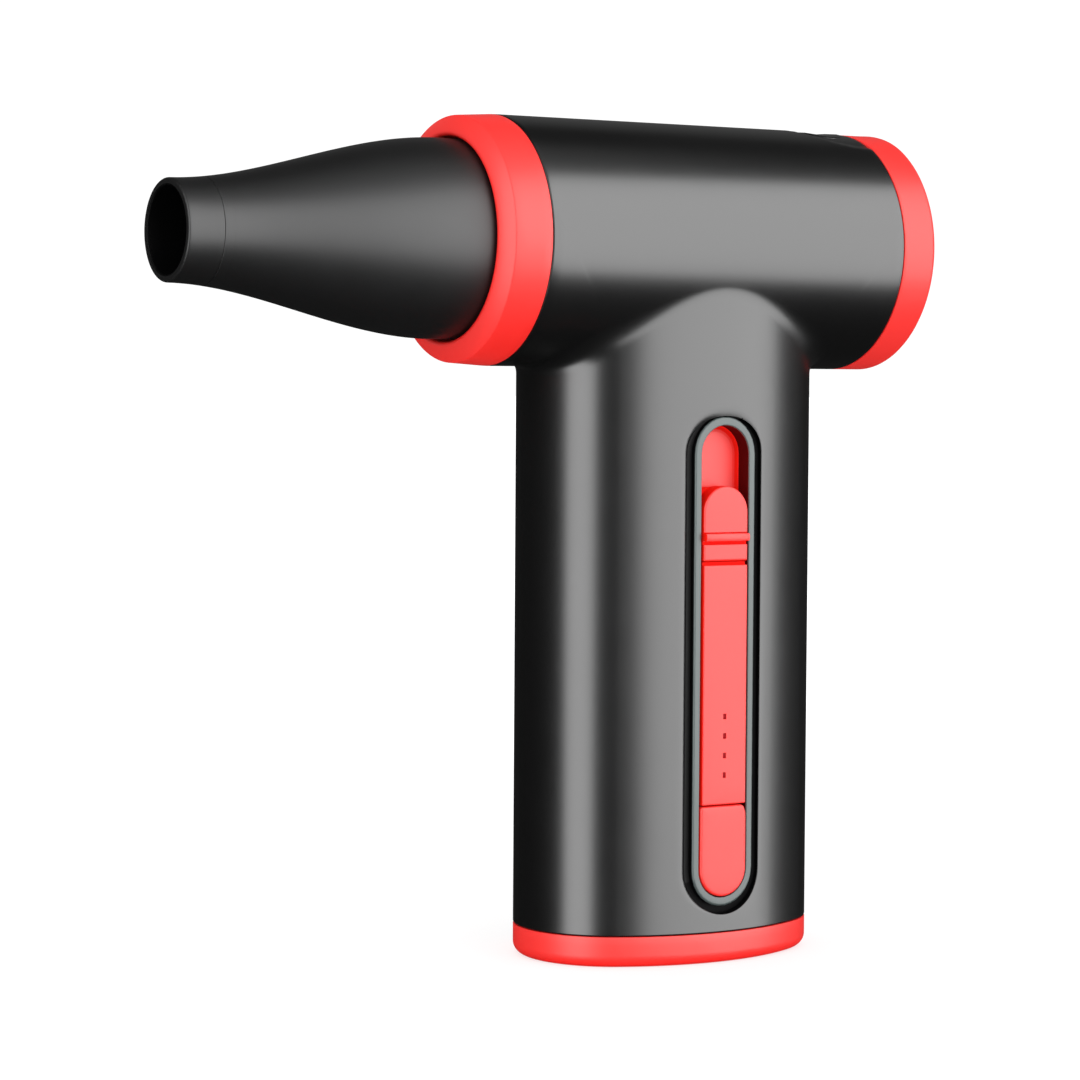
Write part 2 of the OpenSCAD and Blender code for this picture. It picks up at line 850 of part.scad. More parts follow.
module strip_tray() {
    color([0.86, 0.17, 0.14])
        difference() {
            slot_prism(tray_outer, strip_bottom - tray_wall, strip_top + tray_wall,
                rim_front + rim_lip + fit_gap, tray_back);
            slot_prism(strip_width, strip_bottom, strip_top, outside_y, track_floor);
            box([-2.4, outside_y, stem_z - 0.3], [2.4, 0, stem_z + 3 + slider_travel + 0.3]);
            box([-4.8, outside_y, usb_z - 1.9], [4.8, 0, usb_z + 1.9]);
            for (i = [0:3])
                translate([0, 0, light_low + i * light_pitch])
                    box([-0.6, outside_y, -0.8], [0.6, 0, 0.8]);
            translate([-10, flap_axis_y, flap_axis_z])
                rotate([0, 90, 0])
                    cylinder(h = 20, r = 0.47);
        }
}

module strip_plate() {
    half = skin_width / 2;
    low = flap_top + loose_gap;
    color([0.88, 0.18, 0.15])
        difference() {
            box([-half, skin_front, low], [half, track_floor - fit_gap, plate_top]);
            box([-half + 1.2, skin_front + 1.6, low + 1.2],
                [half - 1.2, track_floor + 1, plate_top - 1.2]);
            for (i = [0:3])
                translate([0, 0, light_low + i * light_pitch])
                    box([-0.45, outside_y, -0.65], [0.45, 0, 0.65]);
        }
}

module speed_slider() {
    half = skin_width / 2;
    top = slider_bottom + slider_height;
    color([0.88, 0.18, 0.15])
        union() {
            translate([0, skin_front + 1.7, 0])
                rotate([90, 0, 0])
                    linear_extrude(1.7) {
                        translate([-half, slider_bottom])
                            square([skin_width, slider_height - half]);
                        translate([0, top - half])
                            circle(r = half, $fn = 72);
                    }
            difference() {
                translate([0, track_floor - fit_gap, 0])
                    rotate([90, 0, 0])
                        linear_extrude(track_floor - fit_gap - skin_front - 1) {
                            translate([-half + 0.1, slider_bottom])
                                square([skin_width - 0.2, slider_height - 2.4]);
                            translate([-half + 2.1, slider_bottom])
                                square([skin_width - 4.2, slider_height - 0.4]);
                            for (s = [-1, 1])
                                translate([s * (half - 2.1), top - 2.4])
                                    circle(r = 2);
                        }
                box([-half + 1.5, skin_front + 1.6, slider_bottom + 1.4],
                    [half - 1.5, track_floor + 1, top - 4]);
            }
            box([-half - 0.1, skin_front - 0.9, slider_bottom + 4],
                [half + 0.1, skin_front + 0.5, slider_bottom + 6.1]);
            for (s = [-1, 1])
                translate([s * 1.7, 0, 0])
                    box([-0.6, skin_front + 1, stem_z], [0.6, tray_back + 0.6, stem_z + 3]);
        }
}

module slider_pot() {
    color([0.16, 0.17, 0.20])
        difference() {
            box([-pot_half_width, tray_back + 1, slider_bottom],
                [pot_half_width, board_front - 0.05, pot_top]);
            box([-1.2, tray_back, stem_z - 0.4],
                [1.2, board_front - 0.9, stem_z + 3 + slider_travel + 0.4]);
        }
}

module pot_lever() {
    color([0.80, 0.81, 0.82])
        box([-1, track_floor, stem_z + 0.2], [1, board_front - 1.2, stem_z + 2.8]);
}

module light_guides() {
    color([0.95, 0.80, 0.78])
        for (i = [0:3])
            translate([0, 0, light_low + i * light_pitch])
                box([-0.38, skin_front + 0.06, -0.58], [0.38, board_front - 0.75, 0.58]);
}

module port_flap() {
    half = skin_width / 2;
    low = strip_bottom + 0.25;
    color([0.88, 0.18, 0.15])
        difference() {
            union() {
                translate([0, skin_front + flap_thickness, 0])
                    rotate([90, 0, 0])
                        linear_extrude(flap_thickness) {
                            translate([-half, low + half])
                                square([skin_width, flap_axis_z - low - half]);
                            translate([0, low + half])
                                circle(r = half, $fn = 72);
                        }
                translate([-half, flap_axis_y, flap_axis_z])
                    rotate([0, 90, 0])
                        cylinder(h = skin_width, r = flap_roll, $fn = 48);
                box([-4, skin_front + 1, usb_z - 1.2],
                    [4, skin_front + flap_thickness + 1.2, usb_z + 1.2]);
            }
            translate([-half - 1, flap_axis_y, flap_axis_z])
                rotate([0, 90, 0])
                    cylinder(h = skin_width + 2, r = 0.5);
        }
}

module flap_hinge_pin() {
    color([0.75, 0.76, 0.78])
        translate([-tray_outer / 2 + 0.1, flap_axis_y, flap_axis_z])
            rotate([0, 90, 0])
                cylinder(h = tray_outer - 0.2, r = 0.45);
}

// Flat-sided, round-ended port outline lying across the handle.
module port_outline(width, height, y0, y1) {
    translate([0, y1, usb_z])
        rotate([90, 0, 0])
            linear_extrude(y1 - y0) {
                square([width - height, height], center = true);
                for (s = [-1, 1])
                    translate([s * (width - height) / 2, 0])
                        circle(d = height, $fn = 48);
            }
}

module usb_socket() {
    color([0.70, 0.71, 0.73])
        difference() {
            port_outline(8.94, 3.2, track_floor + 0.1, board_front - 0.05);
            port_outline(8.34, 2.6, track_floor - 1, board_front - 1.1);
        }
}

module usb_tongue() {
    color([0.08, 0.08, 0.09])
        box([-3.3, track_floor + 0.8, usb_z - 0.35],
            [3.3, board_front - 1.15, usb_z + 0.35]);
}

// ======== electronics in the handle ========

module control_board() {
    color([0.08, 0.28, 0.16])
        difference() {
            box([-9, board_front, board_bottom],
                [9, board_front + board_thickness, board_top]);
            for (z = [board_bottom + 12, board_top - 12], s = [-1, 1])
                translate([s * 7, board_front - 1, z])
                    rotate([-90, 0, 0])
                        cylinder(h = 4, r = 1);
        }
}

module leds() {
    color([0.95, 0.93, 0.85])
        for (i = [0:3])
            translate([0, 0, light_low + i * light_pitch])
                box([-0.8, board_front - 0.65, -0.6], [0.8, board_front - 0.03, 0.6]);
}

module driver_board() {
    color([0.08, 0.28, 0.16])
        translate([0, 0, driver_z])
            linear_extrude(driver_thickness)
                difference() {
                    intersection() {
                        handle_section(housing_wall + 1);
                        translate([0, 6])
                            square([56, 22], center = true);
                    }
                    for (s = [-1, 1])
                        translate([s * 24, 6])
                            circle(r = 1.4);
                }
}

module driver_mosfets() {
    color([0.10, 0.10, 0.11])
        for (x = [-12, -4, 4], y = [2, 9])
            translate([x, y, driver_top + solder_gap])
                box([-chip_half, -chip_half, 0], [chip_half, chip_half, chip_height]);
}

module heat_sink() {
    fins = 6;
    color([0.66, 0.67, 0.69])
        translate([-15, -1, driver_top + chip_height + 3 * solder_gap])
            union() {
                cube([fins * sink_pitch + 1.6, 13, sink_base]);
                for (i = [0:fins])
                    translate([i * sink_pitch, 0, sink_base - 0.2])
                        cube([sink_fin, 13, sink_height - sink_base + 0.2]);
            }
}

module driver_capacitor() {
    color([0.12, 0.14, 0.30])
        translate([15, 5, driver_top + solder_gap])
            difference() {
                cylinder(h = capacitor_height, r = capacitor_radius);
                translate([0, 0, capacitor_height - 2.8])
                    difference() {
                        cylinder(h = 0.6, r = capacitor_radius + 1);
                        translate([0, 0, -1])
                            cylinder(h = 3, r = capacitor_radius - 0.4);
                    }
            }
}

// ======== battery pack ========

module battery_cells() {
    color([0.20, 0.42, 0.62])
        for (i = [-1:1])
            translate([i * cell_pitch, cell_y, cell_bottom]) {
                cylinder(h = cell_length, r = cell_radius);
                translate([0, 0, cell_length - 0.1])
                    cylinder(h = 0.5, r = 3);
            }
}

module cell_rings() {
    color([0.92, 0.92, 0.90])
        for (i = [-1:1])
            translate([i * cell_pitch, cell_y, cell_top + 0.05])
                difference() {
                    cylinder(h = 0.25, r = cell_radius - 0.3);
                    translate([0, 0, -1])
                        cylinder(h = 3, r = 3.4);
                }
}

module nickel_strips() {
    color([0.76, 0.76, 0.74])
        union() {
            battery_tab(-cell_pitch, 0, tab_high);
            battery_tab(cell_pitch, cell_pitch, tab_high);
            battery_tab(0, cell_pitch, tab_low);
            battery_tab(-cell_pitch, -cell_pitch, tab_low);
        }
}

// Flat tab from one cell's axis to another's.
module battery_tab(x0, x1, z) {
    box([x0 - tab_half, cell_y - tab_half, z],
        [x1 + tab_half, cell_y + tab_half, z + tab_thickness]);
}

module battery_cradle() {
    color([0.14, 0.14, 0.15])
        union() {
            difference() {
                for (z = [cell_bottom - 2.2, cell_top - 3.2])
                    translate([0, 0, z])
                        linear_extrude(cradle_height)
                            intersection() {
                                handle_section(housing_wall + loose_gap);
                                translate([0, cell_y])
                                    square([80, 21], center = true);
                            }
                for (i = [-1:1])
                    translate([i * cell_pitch, cell_y, cell_bottom - 0.7])
                        cylinder(h = cell_length + 1.5, r = cell_radius + fit_gap);
                box([-cell_pitch, cell_y - tab_half - loose_gap, tab_high - fit_gap],
                    [0, cell_y + tab_half + loose_gap, tab_high + cradle_height]);
                box([0, cell_y - tab_half - loose_gap, tab_low - loose_gap],
                    [cell_pitch, cell_y + tab_half + loose_gap, cell_bottom]);
            }
            for (sx = [-1, 1], sy = [-1, 1])
                translate([sx * cell_pitch / 2, cell_y + sy * 8.4, cell_bottom])
                    cylinder(h = cell_length, r = 1.7);
        }
}

module cradle_pads() {
    color([0.30, 0.30, 0.31])
        for (z = [cell_bottom + 13, cell_top - 22])
            box([-10, cell_y + 10.6, z], [10, handle_half_width - housing_wall - 1.3, z + 12]);
}

module battery_leads() {
    color([0.75, 0.10, 0.08])
        for (s = [-1, 1])
            translate([s * (cell_pitch + 5.5), cell_y - 6, cell_top + 2.5])
                cylinder(h = driver_z - cell_top - 2.6, r = 0.9);
}

module signal_cable() {
    color([0.60, 0.61, 0.63])
        box([-5, board_front + board_thickness + fit_gap, driver_top + solder_gap],
            [5, -1.5, driver_top + solder_gap + 0.6]);
}

module motor_leads() {
    color([0.12, 0.12, 0.13])
        for (y = [-1.7, 0, 1.7])
            translate([lead_x, y, 0]) {
                translate([0, 0, lead_end])
                    cylinder(h = lead_bend - lead_end, r = lead_radius);
                translate([-0.4, 0, lead_bend])
                    rotate([0, 90, 0])
                        cylinder(h = 2.6, r = lead_radius);
            }
}

// ======== power button on top of the barrel ========

module power_button() {
    color([0.10, 0.10, 0.11])
        union() {
            intersection() {
                translate([button_x, 0, 0])
                    rotate([0, 0, 90])
                        oval_prism(button_length, button_width, flange_bottom, barrel_top);
                rod_x(0, 60, button_radius);
            }
            translate([button_x, 0, 0])
                oval_prism(button_width + 1.2, 7, flange_bottom, flange_top);
        }
}

module button_spring() {
    color([0.80, 0.81, 0.82])
        translate([switch_x, 0, switch_seat + 0.35])
            difference() {
                cylinder(h = flange_bottom - switch_seat - 0.37, r = 2.9);
                translate([0, 0, -1])
                    cylinder(h = 5, r = 2.45);
            }
}

module tact_switch() {
    color([0.75, 0.76, 0.78])
        translate([switch_x, 0, switch_seat + 0.35])
            cylinder(h = 0.55, r = 2.2);
}

module switch_board() {
    color([0.75, 0.45, 0.15])
        translate([switch_x, 0, 0])
            box([-3.4, -5, switch_seat + 0.04], [2.9, 5, switch_seat + 0.32]);
}

main_housing();
base_cap();
base_screws();
front_ring();
rear_ring();
intake_grille();
filter_mesh();
filter_frame();
nozzle();
nozzle_seal();
nozzle_band();
fan_duct();
duct_damper();
stator_vanes();
impeller();
impeller_spinner();
motor_shaft();
motor_bell();
rotor_magnets();
stator_core();
stator_windings();
front_bearing();
rear_bearing();
tail_cone();
strip_rim();
strip_tray();
strip_plate();
speed_slider();
slider_pot();
pot_lever();
light_guides();
port_flap();
flap_hinge_pin();
usb_socket();
usb_tongue();
control_board();
leds();
driver_board();
driver_mosfets();
driver_capacitor();
heat_sink();
battery_cells();
cell_rings();
battery_cradle();
nickel_strips();
cradle_pads();
battery_leads();
signal_cable();
motor_leads();
power_button();
button_spring();
tact_switch();
switch_board();
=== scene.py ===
"""Cordless car dryer blower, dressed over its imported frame.

The sizes below are in millimetres, in the part's own frame: the origin at the centre of the flat
foot, +Z up, and the air leaving toward -X. Each sub-assembly is a class that holds its sizes,
builds its meshes and dresses them, and each finish is a small frozen dataclass.

NOISE_SPAN is where most of a noise texture's values lie. An edge that turns further than CRISP
degrees stays crisp, unless a piece says otherwise. A Station is a point X, Z of an upright
outline with the X and Z of its outward direction.
"""
import logging
import math
from dataclasses import dataclass, field
from enum import Enum
from typing import Callable, Iterable, Sequence

import bmesh
import bpy
from mathutils import Matrix, Vector


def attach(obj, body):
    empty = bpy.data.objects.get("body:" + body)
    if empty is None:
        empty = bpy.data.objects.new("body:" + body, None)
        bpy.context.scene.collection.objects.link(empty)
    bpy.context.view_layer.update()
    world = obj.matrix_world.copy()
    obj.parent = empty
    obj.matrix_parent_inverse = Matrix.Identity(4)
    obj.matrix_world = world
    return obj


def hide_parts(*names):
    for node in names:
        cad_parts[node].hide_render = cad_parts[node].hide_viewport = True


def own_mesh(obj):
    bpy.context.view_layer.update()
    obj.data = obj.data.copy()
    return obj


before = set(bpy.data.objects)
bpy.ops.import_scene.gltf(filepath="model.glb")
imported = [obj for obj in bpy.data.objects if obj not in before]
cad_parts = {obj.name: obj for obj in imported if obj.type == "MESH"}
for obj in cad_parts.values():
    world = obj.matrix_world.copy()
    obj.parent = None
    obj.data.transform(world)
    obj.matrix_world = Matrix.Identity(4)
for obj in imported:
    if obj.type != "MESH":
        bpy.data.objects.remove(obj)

MM = 0.001
NOISE_SPAN = (0.3, 0.7)
CRISP = 34.0
Point = Sequence[float]
Pair = tuple[float, float]
Colour = tuple[float, float, float]
Station = tuple[float, float, float, float]
log = logging.getLogger("blower")


class Body(Enum):
    """The moving bodies that pieces ride on."""

    FIXED = "body"
    NOZZLE = "nozzle_piece"
    ROTOR = "rotor"
    SLIDER = "slider"
    FLAP = "flap"
    BUTTON = "button"


# ---------------------------------------------------------------- finishes

class NodeSheet:
    """One material's node tree, with short calls to add and join its nodes."""

    def __init__(self, name: str) -> None:
        """Start a material with an empty Principled shader.

        Args:
            name: the material's name.
        """
        self.material = bpy.data.materials.new(name)
        self.material.use_nodes = True
        self.tree = self.material.node_tree
        self.shader = self.tree.nodes["Principled BSDF"]
        self.place = self.add("ShaderNodeTexCoord")

    def add(self, kind: str, **settings: object) -> bpy.types.Node:
        """Add a node.

        Args:
            kind: the node's type name.
            settings: properties of the node, or values of its inputs by name.

        Returns:
            The new node.
        """
        node = self.tree.nodes.new(kind)
        for key, value in settings.items():
            label = key.replace("_", " ")
            if label in node.inputs:
                node.inputs[label].default_value = value
            else:
                setattr(node, key, value)
        return node

    def join(self, source: bpy.types.NodeSocket, target: bpy.types.NodeSocket) -> None:
        """Link one socket to another."""
        self.tree.links.new(source, target)

    def noise(self, scale: float, detail: float = 3.0,
              stretch: Point = (1, 1, 1)) -> bpy.types.NodeSocket:
        """Noise on the piece's own coordinates.

        Args:
            scale: cycles per metre.
            detail: octaves of finer noise.
            stretch: how much the pattern is drawn out along each axis.

        Returns:
            The noise value's socket.
        """
        grid = self.add("ShaderNodeMapping", Scale=stretch)
        self.join(self.place.outputs["Object"], grid.inputs["Vector"])
        node = self.add("ShaderNodeTexNoise", Scale=scale, Detail=detail, Roughness=0.55)
        self.join(grid.outputs["Vector"], node.inputs["Vector"])
        return node.outputs["Fac"]

    def spread(self, source: bpy.types.NodeSocket, low: float, high: float,
               target: bpy.types.NodeSocket) -> None:
        """Map noise from its usual span to a range of values.

        Args:
            source: the noise.
            low: value where the noise is weak.
            high: value where it is strong.
            target: the socket that takes the value.
        """
        node = self.add("ShaderNodeMapRange", From_Min=NOISE_SPAN[0], From_Max=NOISE_SPAN[1],
                        To_Min=low, To_Max=high)
        self.join(source, node.inputs["Value"])
        self.join(node.outputs["Result"], target)

    def shade(self, source: bpy.types.NodeSocket, dark: Point, light: Point) -> None:
        """Let the colour wander between two shades.

        Args:
            source: the noise that chooses the shade.
            dark: linear colour where the noise is weak.
            light: linear colour where it is strong.
        """
        ramp = self.add("ShaderNodeValToRGB")
        for end, position, colour in zip(ramp.color_ramp.elements, NOISE_SPAN, (dark, light)):
            end.position, end.color = position, (*colour, 1)
        self.join(source, ramp.inputs["Fac"])
        self.join(ramp.outputs["Color"], self.shader.inputs["Base Color"])

    def grain(self, source: bpy.types.NodeSocket, height_mm: float, strength: float) -> None:
        """Raise a fine surface grain.

        Args:
            source: the pattern's height.
            height_mm: how far the grain stands up.
            strength: how strongly it turns the surface.
        """
        bump = self.add("ShaderNodeBump", Strength=strength, Distance=height_mm * MM)
        self.join(source, bump.inputs["Height"])
        self.join(bump.outputs["Normal"], self.shader.inputs["Normal"])


def tint(colour: Point, factor: float) -> Colour:
    """A colour made lighter or darker by a factor."""
    return tuple(min(1.0, c * factor) for c in colour)


@dataclass(frozen=True)
class Moulded:
    """Moulded plastic with a fine eroded grain and a slightly wandering sheen."""

    name: str
    colour: Colour
    roughness: float = 0.34
    cloud_scale: float = 38.0
    sheen_scale: float = 120.0
    grain_mm: float = 0.012
    grain_scale: float = 2600.0
    strength: float = 0.12
    variation: float = 0.06
    specular: float = 0.5
    clouding: float = 0.01

    def build(self) -> bpy.types.Material:
        """Make the material."""
        sheet = NodeSheet(self.name)
        sheet.shader.inputs["Specular IOR Level"].default_value = self.specular
        sheet.shade(sheet.noise(self.cloud_scale, 4.0), tint(self.colour, 1 - self.variation),
                    tint(self.colour, 1 + self.variation))
        sheet.spread(sheet.noise(self.sheen_scale, 5.0), self.roughness - self.clouding,
                     self.roughness + self.clouding, sheet.shader.inputs["Roughness"])
        sheet.grain(sheet.noise(self.grain_scale, 2.0), self.grain_mm, self.strength)
        return sheet.material


@dataclass(frozen=True)
class Metal:
    """Bare or plated metal with drawn or turned scratches along one axis."""

    name: str
    colour: Colour
    roughness: float = 0.3
    along: Point = (0.05, 1, 1)
    cloud_scale: float = 60.0
    shades: Pair = (0.92, 1.06)
    scale: float = 1800.0
    clouding: Pair = (0.06, 0.08)
    scratch_mm: float = 0.006
    strength: float = 0.15

    def build(self) -> bpy.types.Material:
        """Make the material."""
        sheet = NodeSheet(self.name)
        sheet.shader.inputs["Metallic"].default_value = 1.0
        sheet.shade(sheet.noise(self.cloud_scale, 4.0),
                    *(tint(self.colour, shade) for shade in self.shades))
        drawn = sheet.noise(self.scale, 3.0, self.along)
        sheet.spread(drawn, self.roughness - self.clouding[0],
                     self.roughness + self.clouding[1], sheet.shader.inputs["Roughness"])
        sheet.grain(drawn, self.scratch_mm, self.strength)
        return sheet.material


@dataclass(frozen=True)
class Board:
    """Circuit board: lacquer over copper tracks that show as lighter lines."""

    name: str
    colour: Colour
    second: float = 0.85
    track: float = 1.9
    track_scale: float = 420.0
    track_width: float = 0.03
    track_mm: float = 0.02
    roughness: Pair = (0.25, 0.4)

    def build(self) -> bpy.types.Material:
        """Make the material."""
        sheet = NodeSheet(self.name)
        tracks = sheet.add("ShaderNodeTexBrick", Scale=self.track_scale,
                           Color1=(*self.colour, 1), Color2=(*tint(self.colour, self.second), 1),
                           Mortar=(*tint(self.colour, self.track), 1),
                           Mortar_Size=self.track_width)
        sheet.join(sheet.place.outputs["Object"], tracks.inputs["Vector"])
        sheet.join(tracks.outputs["Color"], sheet.shader.inputs["Base Color"])
        sheet.spread(sheet.noise(300.0), *self.roughness, sheet.shader.inputs["Roughness"])
        sheet.grain(tracks.outputs["Fac"], self.track_mm, 0.2)
        return sheet.material


@dataclass(frozen=True)
class Wound:
    """Enamelled copper wire: fine turns side by side, darker in the grooves between them as painted
    shade.
    """

    name: str
    colour: Colour
    metallic: float = 0.85
    groove_shade: float = 0.6
    wave_scale: float = 2500 / 6.28
    wire_mm: float = 0.08
    roughness: Pair = (0.2, 0.35)

    def build(self) -> bpy.types.Material:
        """Make the material."""
        sheet = NodeSheet(self.name)
        sheet.shader.inputs["Metallic"].default_value = self.metallic
        wave = sheet.add("ShaderNodeTexWave", Scale=self.wave_scale, Distortion=0.3)
        sheet.join(sheet.place.outputs["Object"], wave.inputs["Vector"])
        # The colour darkens where the wave's bump is low: a painted shade between the turns.
        sheet.shade(wave.outputs["Fac"], tint(self.colour, self.groove_shade), self.colour)
        sheet.spread(sheet.noise(500.0), *self.roughness, sheet.shader.inputs["Roughness"])
        sheet.grain(wave.outputs["Fac"], self.wire_mm, 0.6)
        return sheet.material


Finish = Moulded | Metal | Board | Wound


BLACK = Moulded("satin_black_moulding", (0.0022, 0.0022, 0.0024), roughness=0.29,
                strength=0.02, variation=0.08, specular=1.0, clouding=0.006)
NOZZLE_BLACK = Moulded("nozzle_black", (0.0022, 0.0023, 0.0026), roughness=0.46,
                       strength=0.02, variation=0.08, specular=0.76)
CORAL = Moulded("satin_coral_red", (0.98, 0.013, 0.008), roughness=0.42, strength=0.03,
                variation=0.015, specular=0.63)
# Painted shade: copies of the coral red with half the gloss, with no gloss, or much darker, laid on
# faces in recesses and gaps where shade falls.
CORAL_HALF_SHADE = Moulded("coral_red_half_painted_shade", (0.96, 0.014, 0.009), roughness=0.5,
                           strength=0.03, variation=0.02, specular=0.3)
CORAL_SHADE = Moulded("coral_red_painted_shade", (0.96, 0.01, 0.004), roughness=0.6, strength=0.03,
                     variation=0.02, specular=0.04)
CORAL_DEEP_SHADE = Moulded("recess_wall_painted_shade_red", (0.078, 0.0008, 0.0012), roughness=0.5, strength=0.03,
                     variation=0.05, specular=0.06)
RIM = Moulded("rim_grey_green", (0.066, 0.086, 0.084), roughness=0.34, strength=0.04,
              specular=0.66)
# Painted shade: darker, less glossy copies of the black moulding for the channel round the strip
# and the rim's outer side.
CHANNEL_SHADE_BLACK = Moulded("channel_painted_shade_black", (0.001, 0.001, 0.0012), roughness=0.6, strength=0.04,
                        specular=0.08)
CHANNEL_FLOOR_SHADE = Moulded("channel_floor_painted_shade_black", (0.001, 0.001, 0.0012), roughness=0.5,
                        strength=0.03, specular=0.2)
# Painted shade: a darker, less glossy black for the inside of the nozzle's mouth.
THROAT_SHADE_BLACK = Moulded("throat_painted_shade_black", (0.0004, 0.0004, 0.0005), roughness=0.6, strength=0.04,
                       specular=0.12)
DARK = Moulded("inner_black", (0.012, 0.012, 0.013), roughness=0.55, strength=0.2)
RUBBER = Moulded("soft_rubber", (0.015, 0.015, 0.016), roughness=0.75, strength=0.3,
                 grain_scale=1400)
GREY_PART = Moulded("glass_filled_nylon", (0.035, 0.035, 0.038), roughness=0.5, strength=0.25)
FOAM = Moulded("damper_foam", (0.02, 0.02, 0.022), roughness=0.9, grain_mm=0.2,
               grain_scale=900, strength=0.9)
WRAP = Moulded("cell_sleeve", (0.04, 0.16, 0.34), roughness=0.28, strength=0.08)
PAPER = Moulded("fish_paper", (0.8, 0.8, 0.74), roughness=0.85, strength=0.3, grain_scale=1200)
SMOKED_PIN = Moulded("light_guide", (0.3, 0.004, 0.008), roughness=0.4, strength=0.02,
                     specular=0.04)
LAMP_CHIP = Moulded("lamp_chip", (0.85, 0.8, 0.62), roughness=0.3, strength=0.05)
CHIP = Moulded("moulded_chip", (0.018, 0.018, 0.02), roughness=0.45, strength=0.2)
CAN = Moulded("capacitor_sleeve", (0.03, 0.035, 0.11), roughness=0.35, strength=0.05)
WIRE_RED = Moulded("red_wire", (0.55, 0.02, 0.02), roughness=0.45, strength=0.05)
WIRE_BLACK = Moulded("black_wire", (0.02, 0.02, 0.02), roughness=0.45, strength=0.05)
RIBBON = Moulded("flat_cable", (0.32, 0.32, 0.34), roughness=0.5, strength=0.1)
FLEX = Moulded("flex_board", (0.45, 0.17, 0.03), roughness=0.35, strength=0.06)
STEEL = Metal("ground_steel", (0.6, 0.6, 0.62), roughness=0.24)
PLATED = Metal("nickel_plate", (0.62, 0.6, 0.56), roughness=0.3)
ALLOY = Metal("anodised_alloy", (0.5, 0.51, 0.53), roughness=0.38, strength=0.08)
ROTOR_STEEL = Metal("phosphated_steel", (0.2, 0.2, 0.22), roughness=0.42)
LAMINATED = Metal("laminated_steel", (0.4, 0.4, 0.42), roughness=0.45, along=(6, 0.2, 0.2),
                  scale=900, strength=0.5)
MESH_WIRE = Metal("woven_wire", (0.42, 0.43, 0.45), roughness=0.32)
COPPER = Wound("enamelled_copper", (0.8, 0.28, 0.1))
GREEN = Board("green_board", (0.012, 0.09, 0.035))

_made: dict[str, bpy.types.Material] = {}


def material_of(finish: Finish) -> bpy.types.Material:
    """The finish's material, made once."""
    if finish.name not in _made:
        _made[finish.name] = finish.build()
    return _made[finish.name]


# ---------------------------------------------------------------- mesh tools

class Skin:
    """Points and faces of one piece in millimetres, joined ring by ring."""

    def __init__(self) -> None:
        """Start with nothing."""
        self.points: list[Vector] = []
        self.faces: list[tuple[int, ...]] = []

    def ring(self, points: Iterable[Point]) -> list[int]:
        """Add a row of points and return their numbers."""
        start = len(self.points)
        self.points.extend(Vector(p) for p in points)
        return list(range(start, len(self.points)))

    def bridge(self, a: Sequence[int], b: Sequence[int]) -> None:
        """Join two loops of equal length with four-sided faces."""
        count = len(a)
        for i in range(count):
            j = (i + 1) % count
            self.faces.append((a[i], a[j], b[j], b[i]))

    def loft(self, rows: Iterable[Iterable[Point]]) -> tuple[list[int], list[int]]:
        """Join a series of loops.

        Args:
            rows: the loops of points, all of one length.

        Returns:
            The first and the last loop's numbers.
        """
        made = [self.ring(r) for r in rows]
        for a, b in zip(made, made[1:]):
            self.bridge(a, b)
        return made[0], made[-1]

    @classmethod
    def capped(cls, rows: Iterable[Iterable[Point]]) -> "Skin":
        """A closed skin: loops joined in series, with a face over each end."""
        skin = cls()
        for end in skin.loft(rows):
            skin.faces.append(tuple(end))
        return skin

    @classmethod
    def hoop(cls, rows: Iterable[Iterable[Point]]) -> "Skin":
        """A closed skin: loops joined in series, the last one to the first."""
        skin = cls()
        first, last = skin.loft(rows)
        skin.bridge(last, first)
        return skin

    def mesh(self, name: str, sharp: float = CRISP) -> bpy.types.Mesh:
        """Weld the points, turn the faces outwards and mark sharp edges.

        Args:
            name: the mesh's name.
            sharp: edges that turn by more than this many degrees stay crisp.

        Returns:
            The mesh, in metres.
        """
        work = bmesh.new()
        corners = [work.verts.new(p * MM) for p in self.points]
        for face in self.faces:
            if len(set(face)) > 2:
                try:
                    work.faces.new([corners[i] for i in face])
                except ValueError:
                    continue
        bmesh.ops.remove_doubles(work, verts=work.verts[:], dist=2e-6)
        bmesh.ops.dissolve_degenerate(work, edges=work.edges[:], dist=1e-7)
        loose = [v for v in work.verts if not v.link_faces]
        bmesh.ops.delete(work, geom=loose, context="VERTS")
        bmesh.ops.recalc_face_normals(work, faces=work.faces[:])
        mark_sharp(work, sharp)
        mesh = bpy.data.meshes.new(name)
        work.to_mesh(mesh)
        work.free()
        return mesh

    def piece(self, name: str, finish: Finish, body: Body, stands_for: Sequence[str],
              sharp: float = CRISP) -> bpy.types.Object:
        """Make the object, dress it and set it on its body."""
        return place(self.mesh(name, sharp), name, finish, body, stands_for)


def linked(name: str, data: bpy.types.ID) -> bpy.types.Object:
    """A new object in the scene."""
    piece = bpy.data.objects.new(name, data)
    bpy.context.scene.collection.objects.link(piece)
    return piece


def evaluated(piece: bpy.types.Object) -> bpy.types.Mesh:
    """A plain mesh of an object with its modifiers worked out."""
    depsgraph = bpy.context.evaluated_depsgraph_get()
    return bpy.data.meshes.new_from_object(piece.evaluated_get(depsgraph))


def mark_sharp(work: bmesh.types.BMesh, angle: float) -> None:
    """Smooth every face and keep edges that turn further than the angle crisp."""
    limit = math.radians(angle)
    for face in work.faces:
        face.smooth = True
    for edge in work.edges:
        edge.smooth = not (len(edge.link_faces) == 2 and edge.calc_face_angle() > limit)


def place(mesh: bpy.types.Mesh, name: str, finish: Finish, body: Body,
          stands_for: Sequence[str]) -> bpy.types.Object:
    """Put a finished mesh in the scene.

    Args:
        mesh: the mesh, in place and in metres.
        name: the piece's name.
        finish: its finish.
        body: the body it rides on.
        stands_for: the frame's nodes that it replaces.

    Returns:
        The new object.
    """
    piece = linked(name, mesh)
    mesh.materials.clear()
    mesh.materials.append(material_of(finish))
    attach(piece, body.value)
    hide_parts(*stands_for)
    log.info("%s: %d faces on %s", name, len(mesh.polygons), body.value)
    return piece


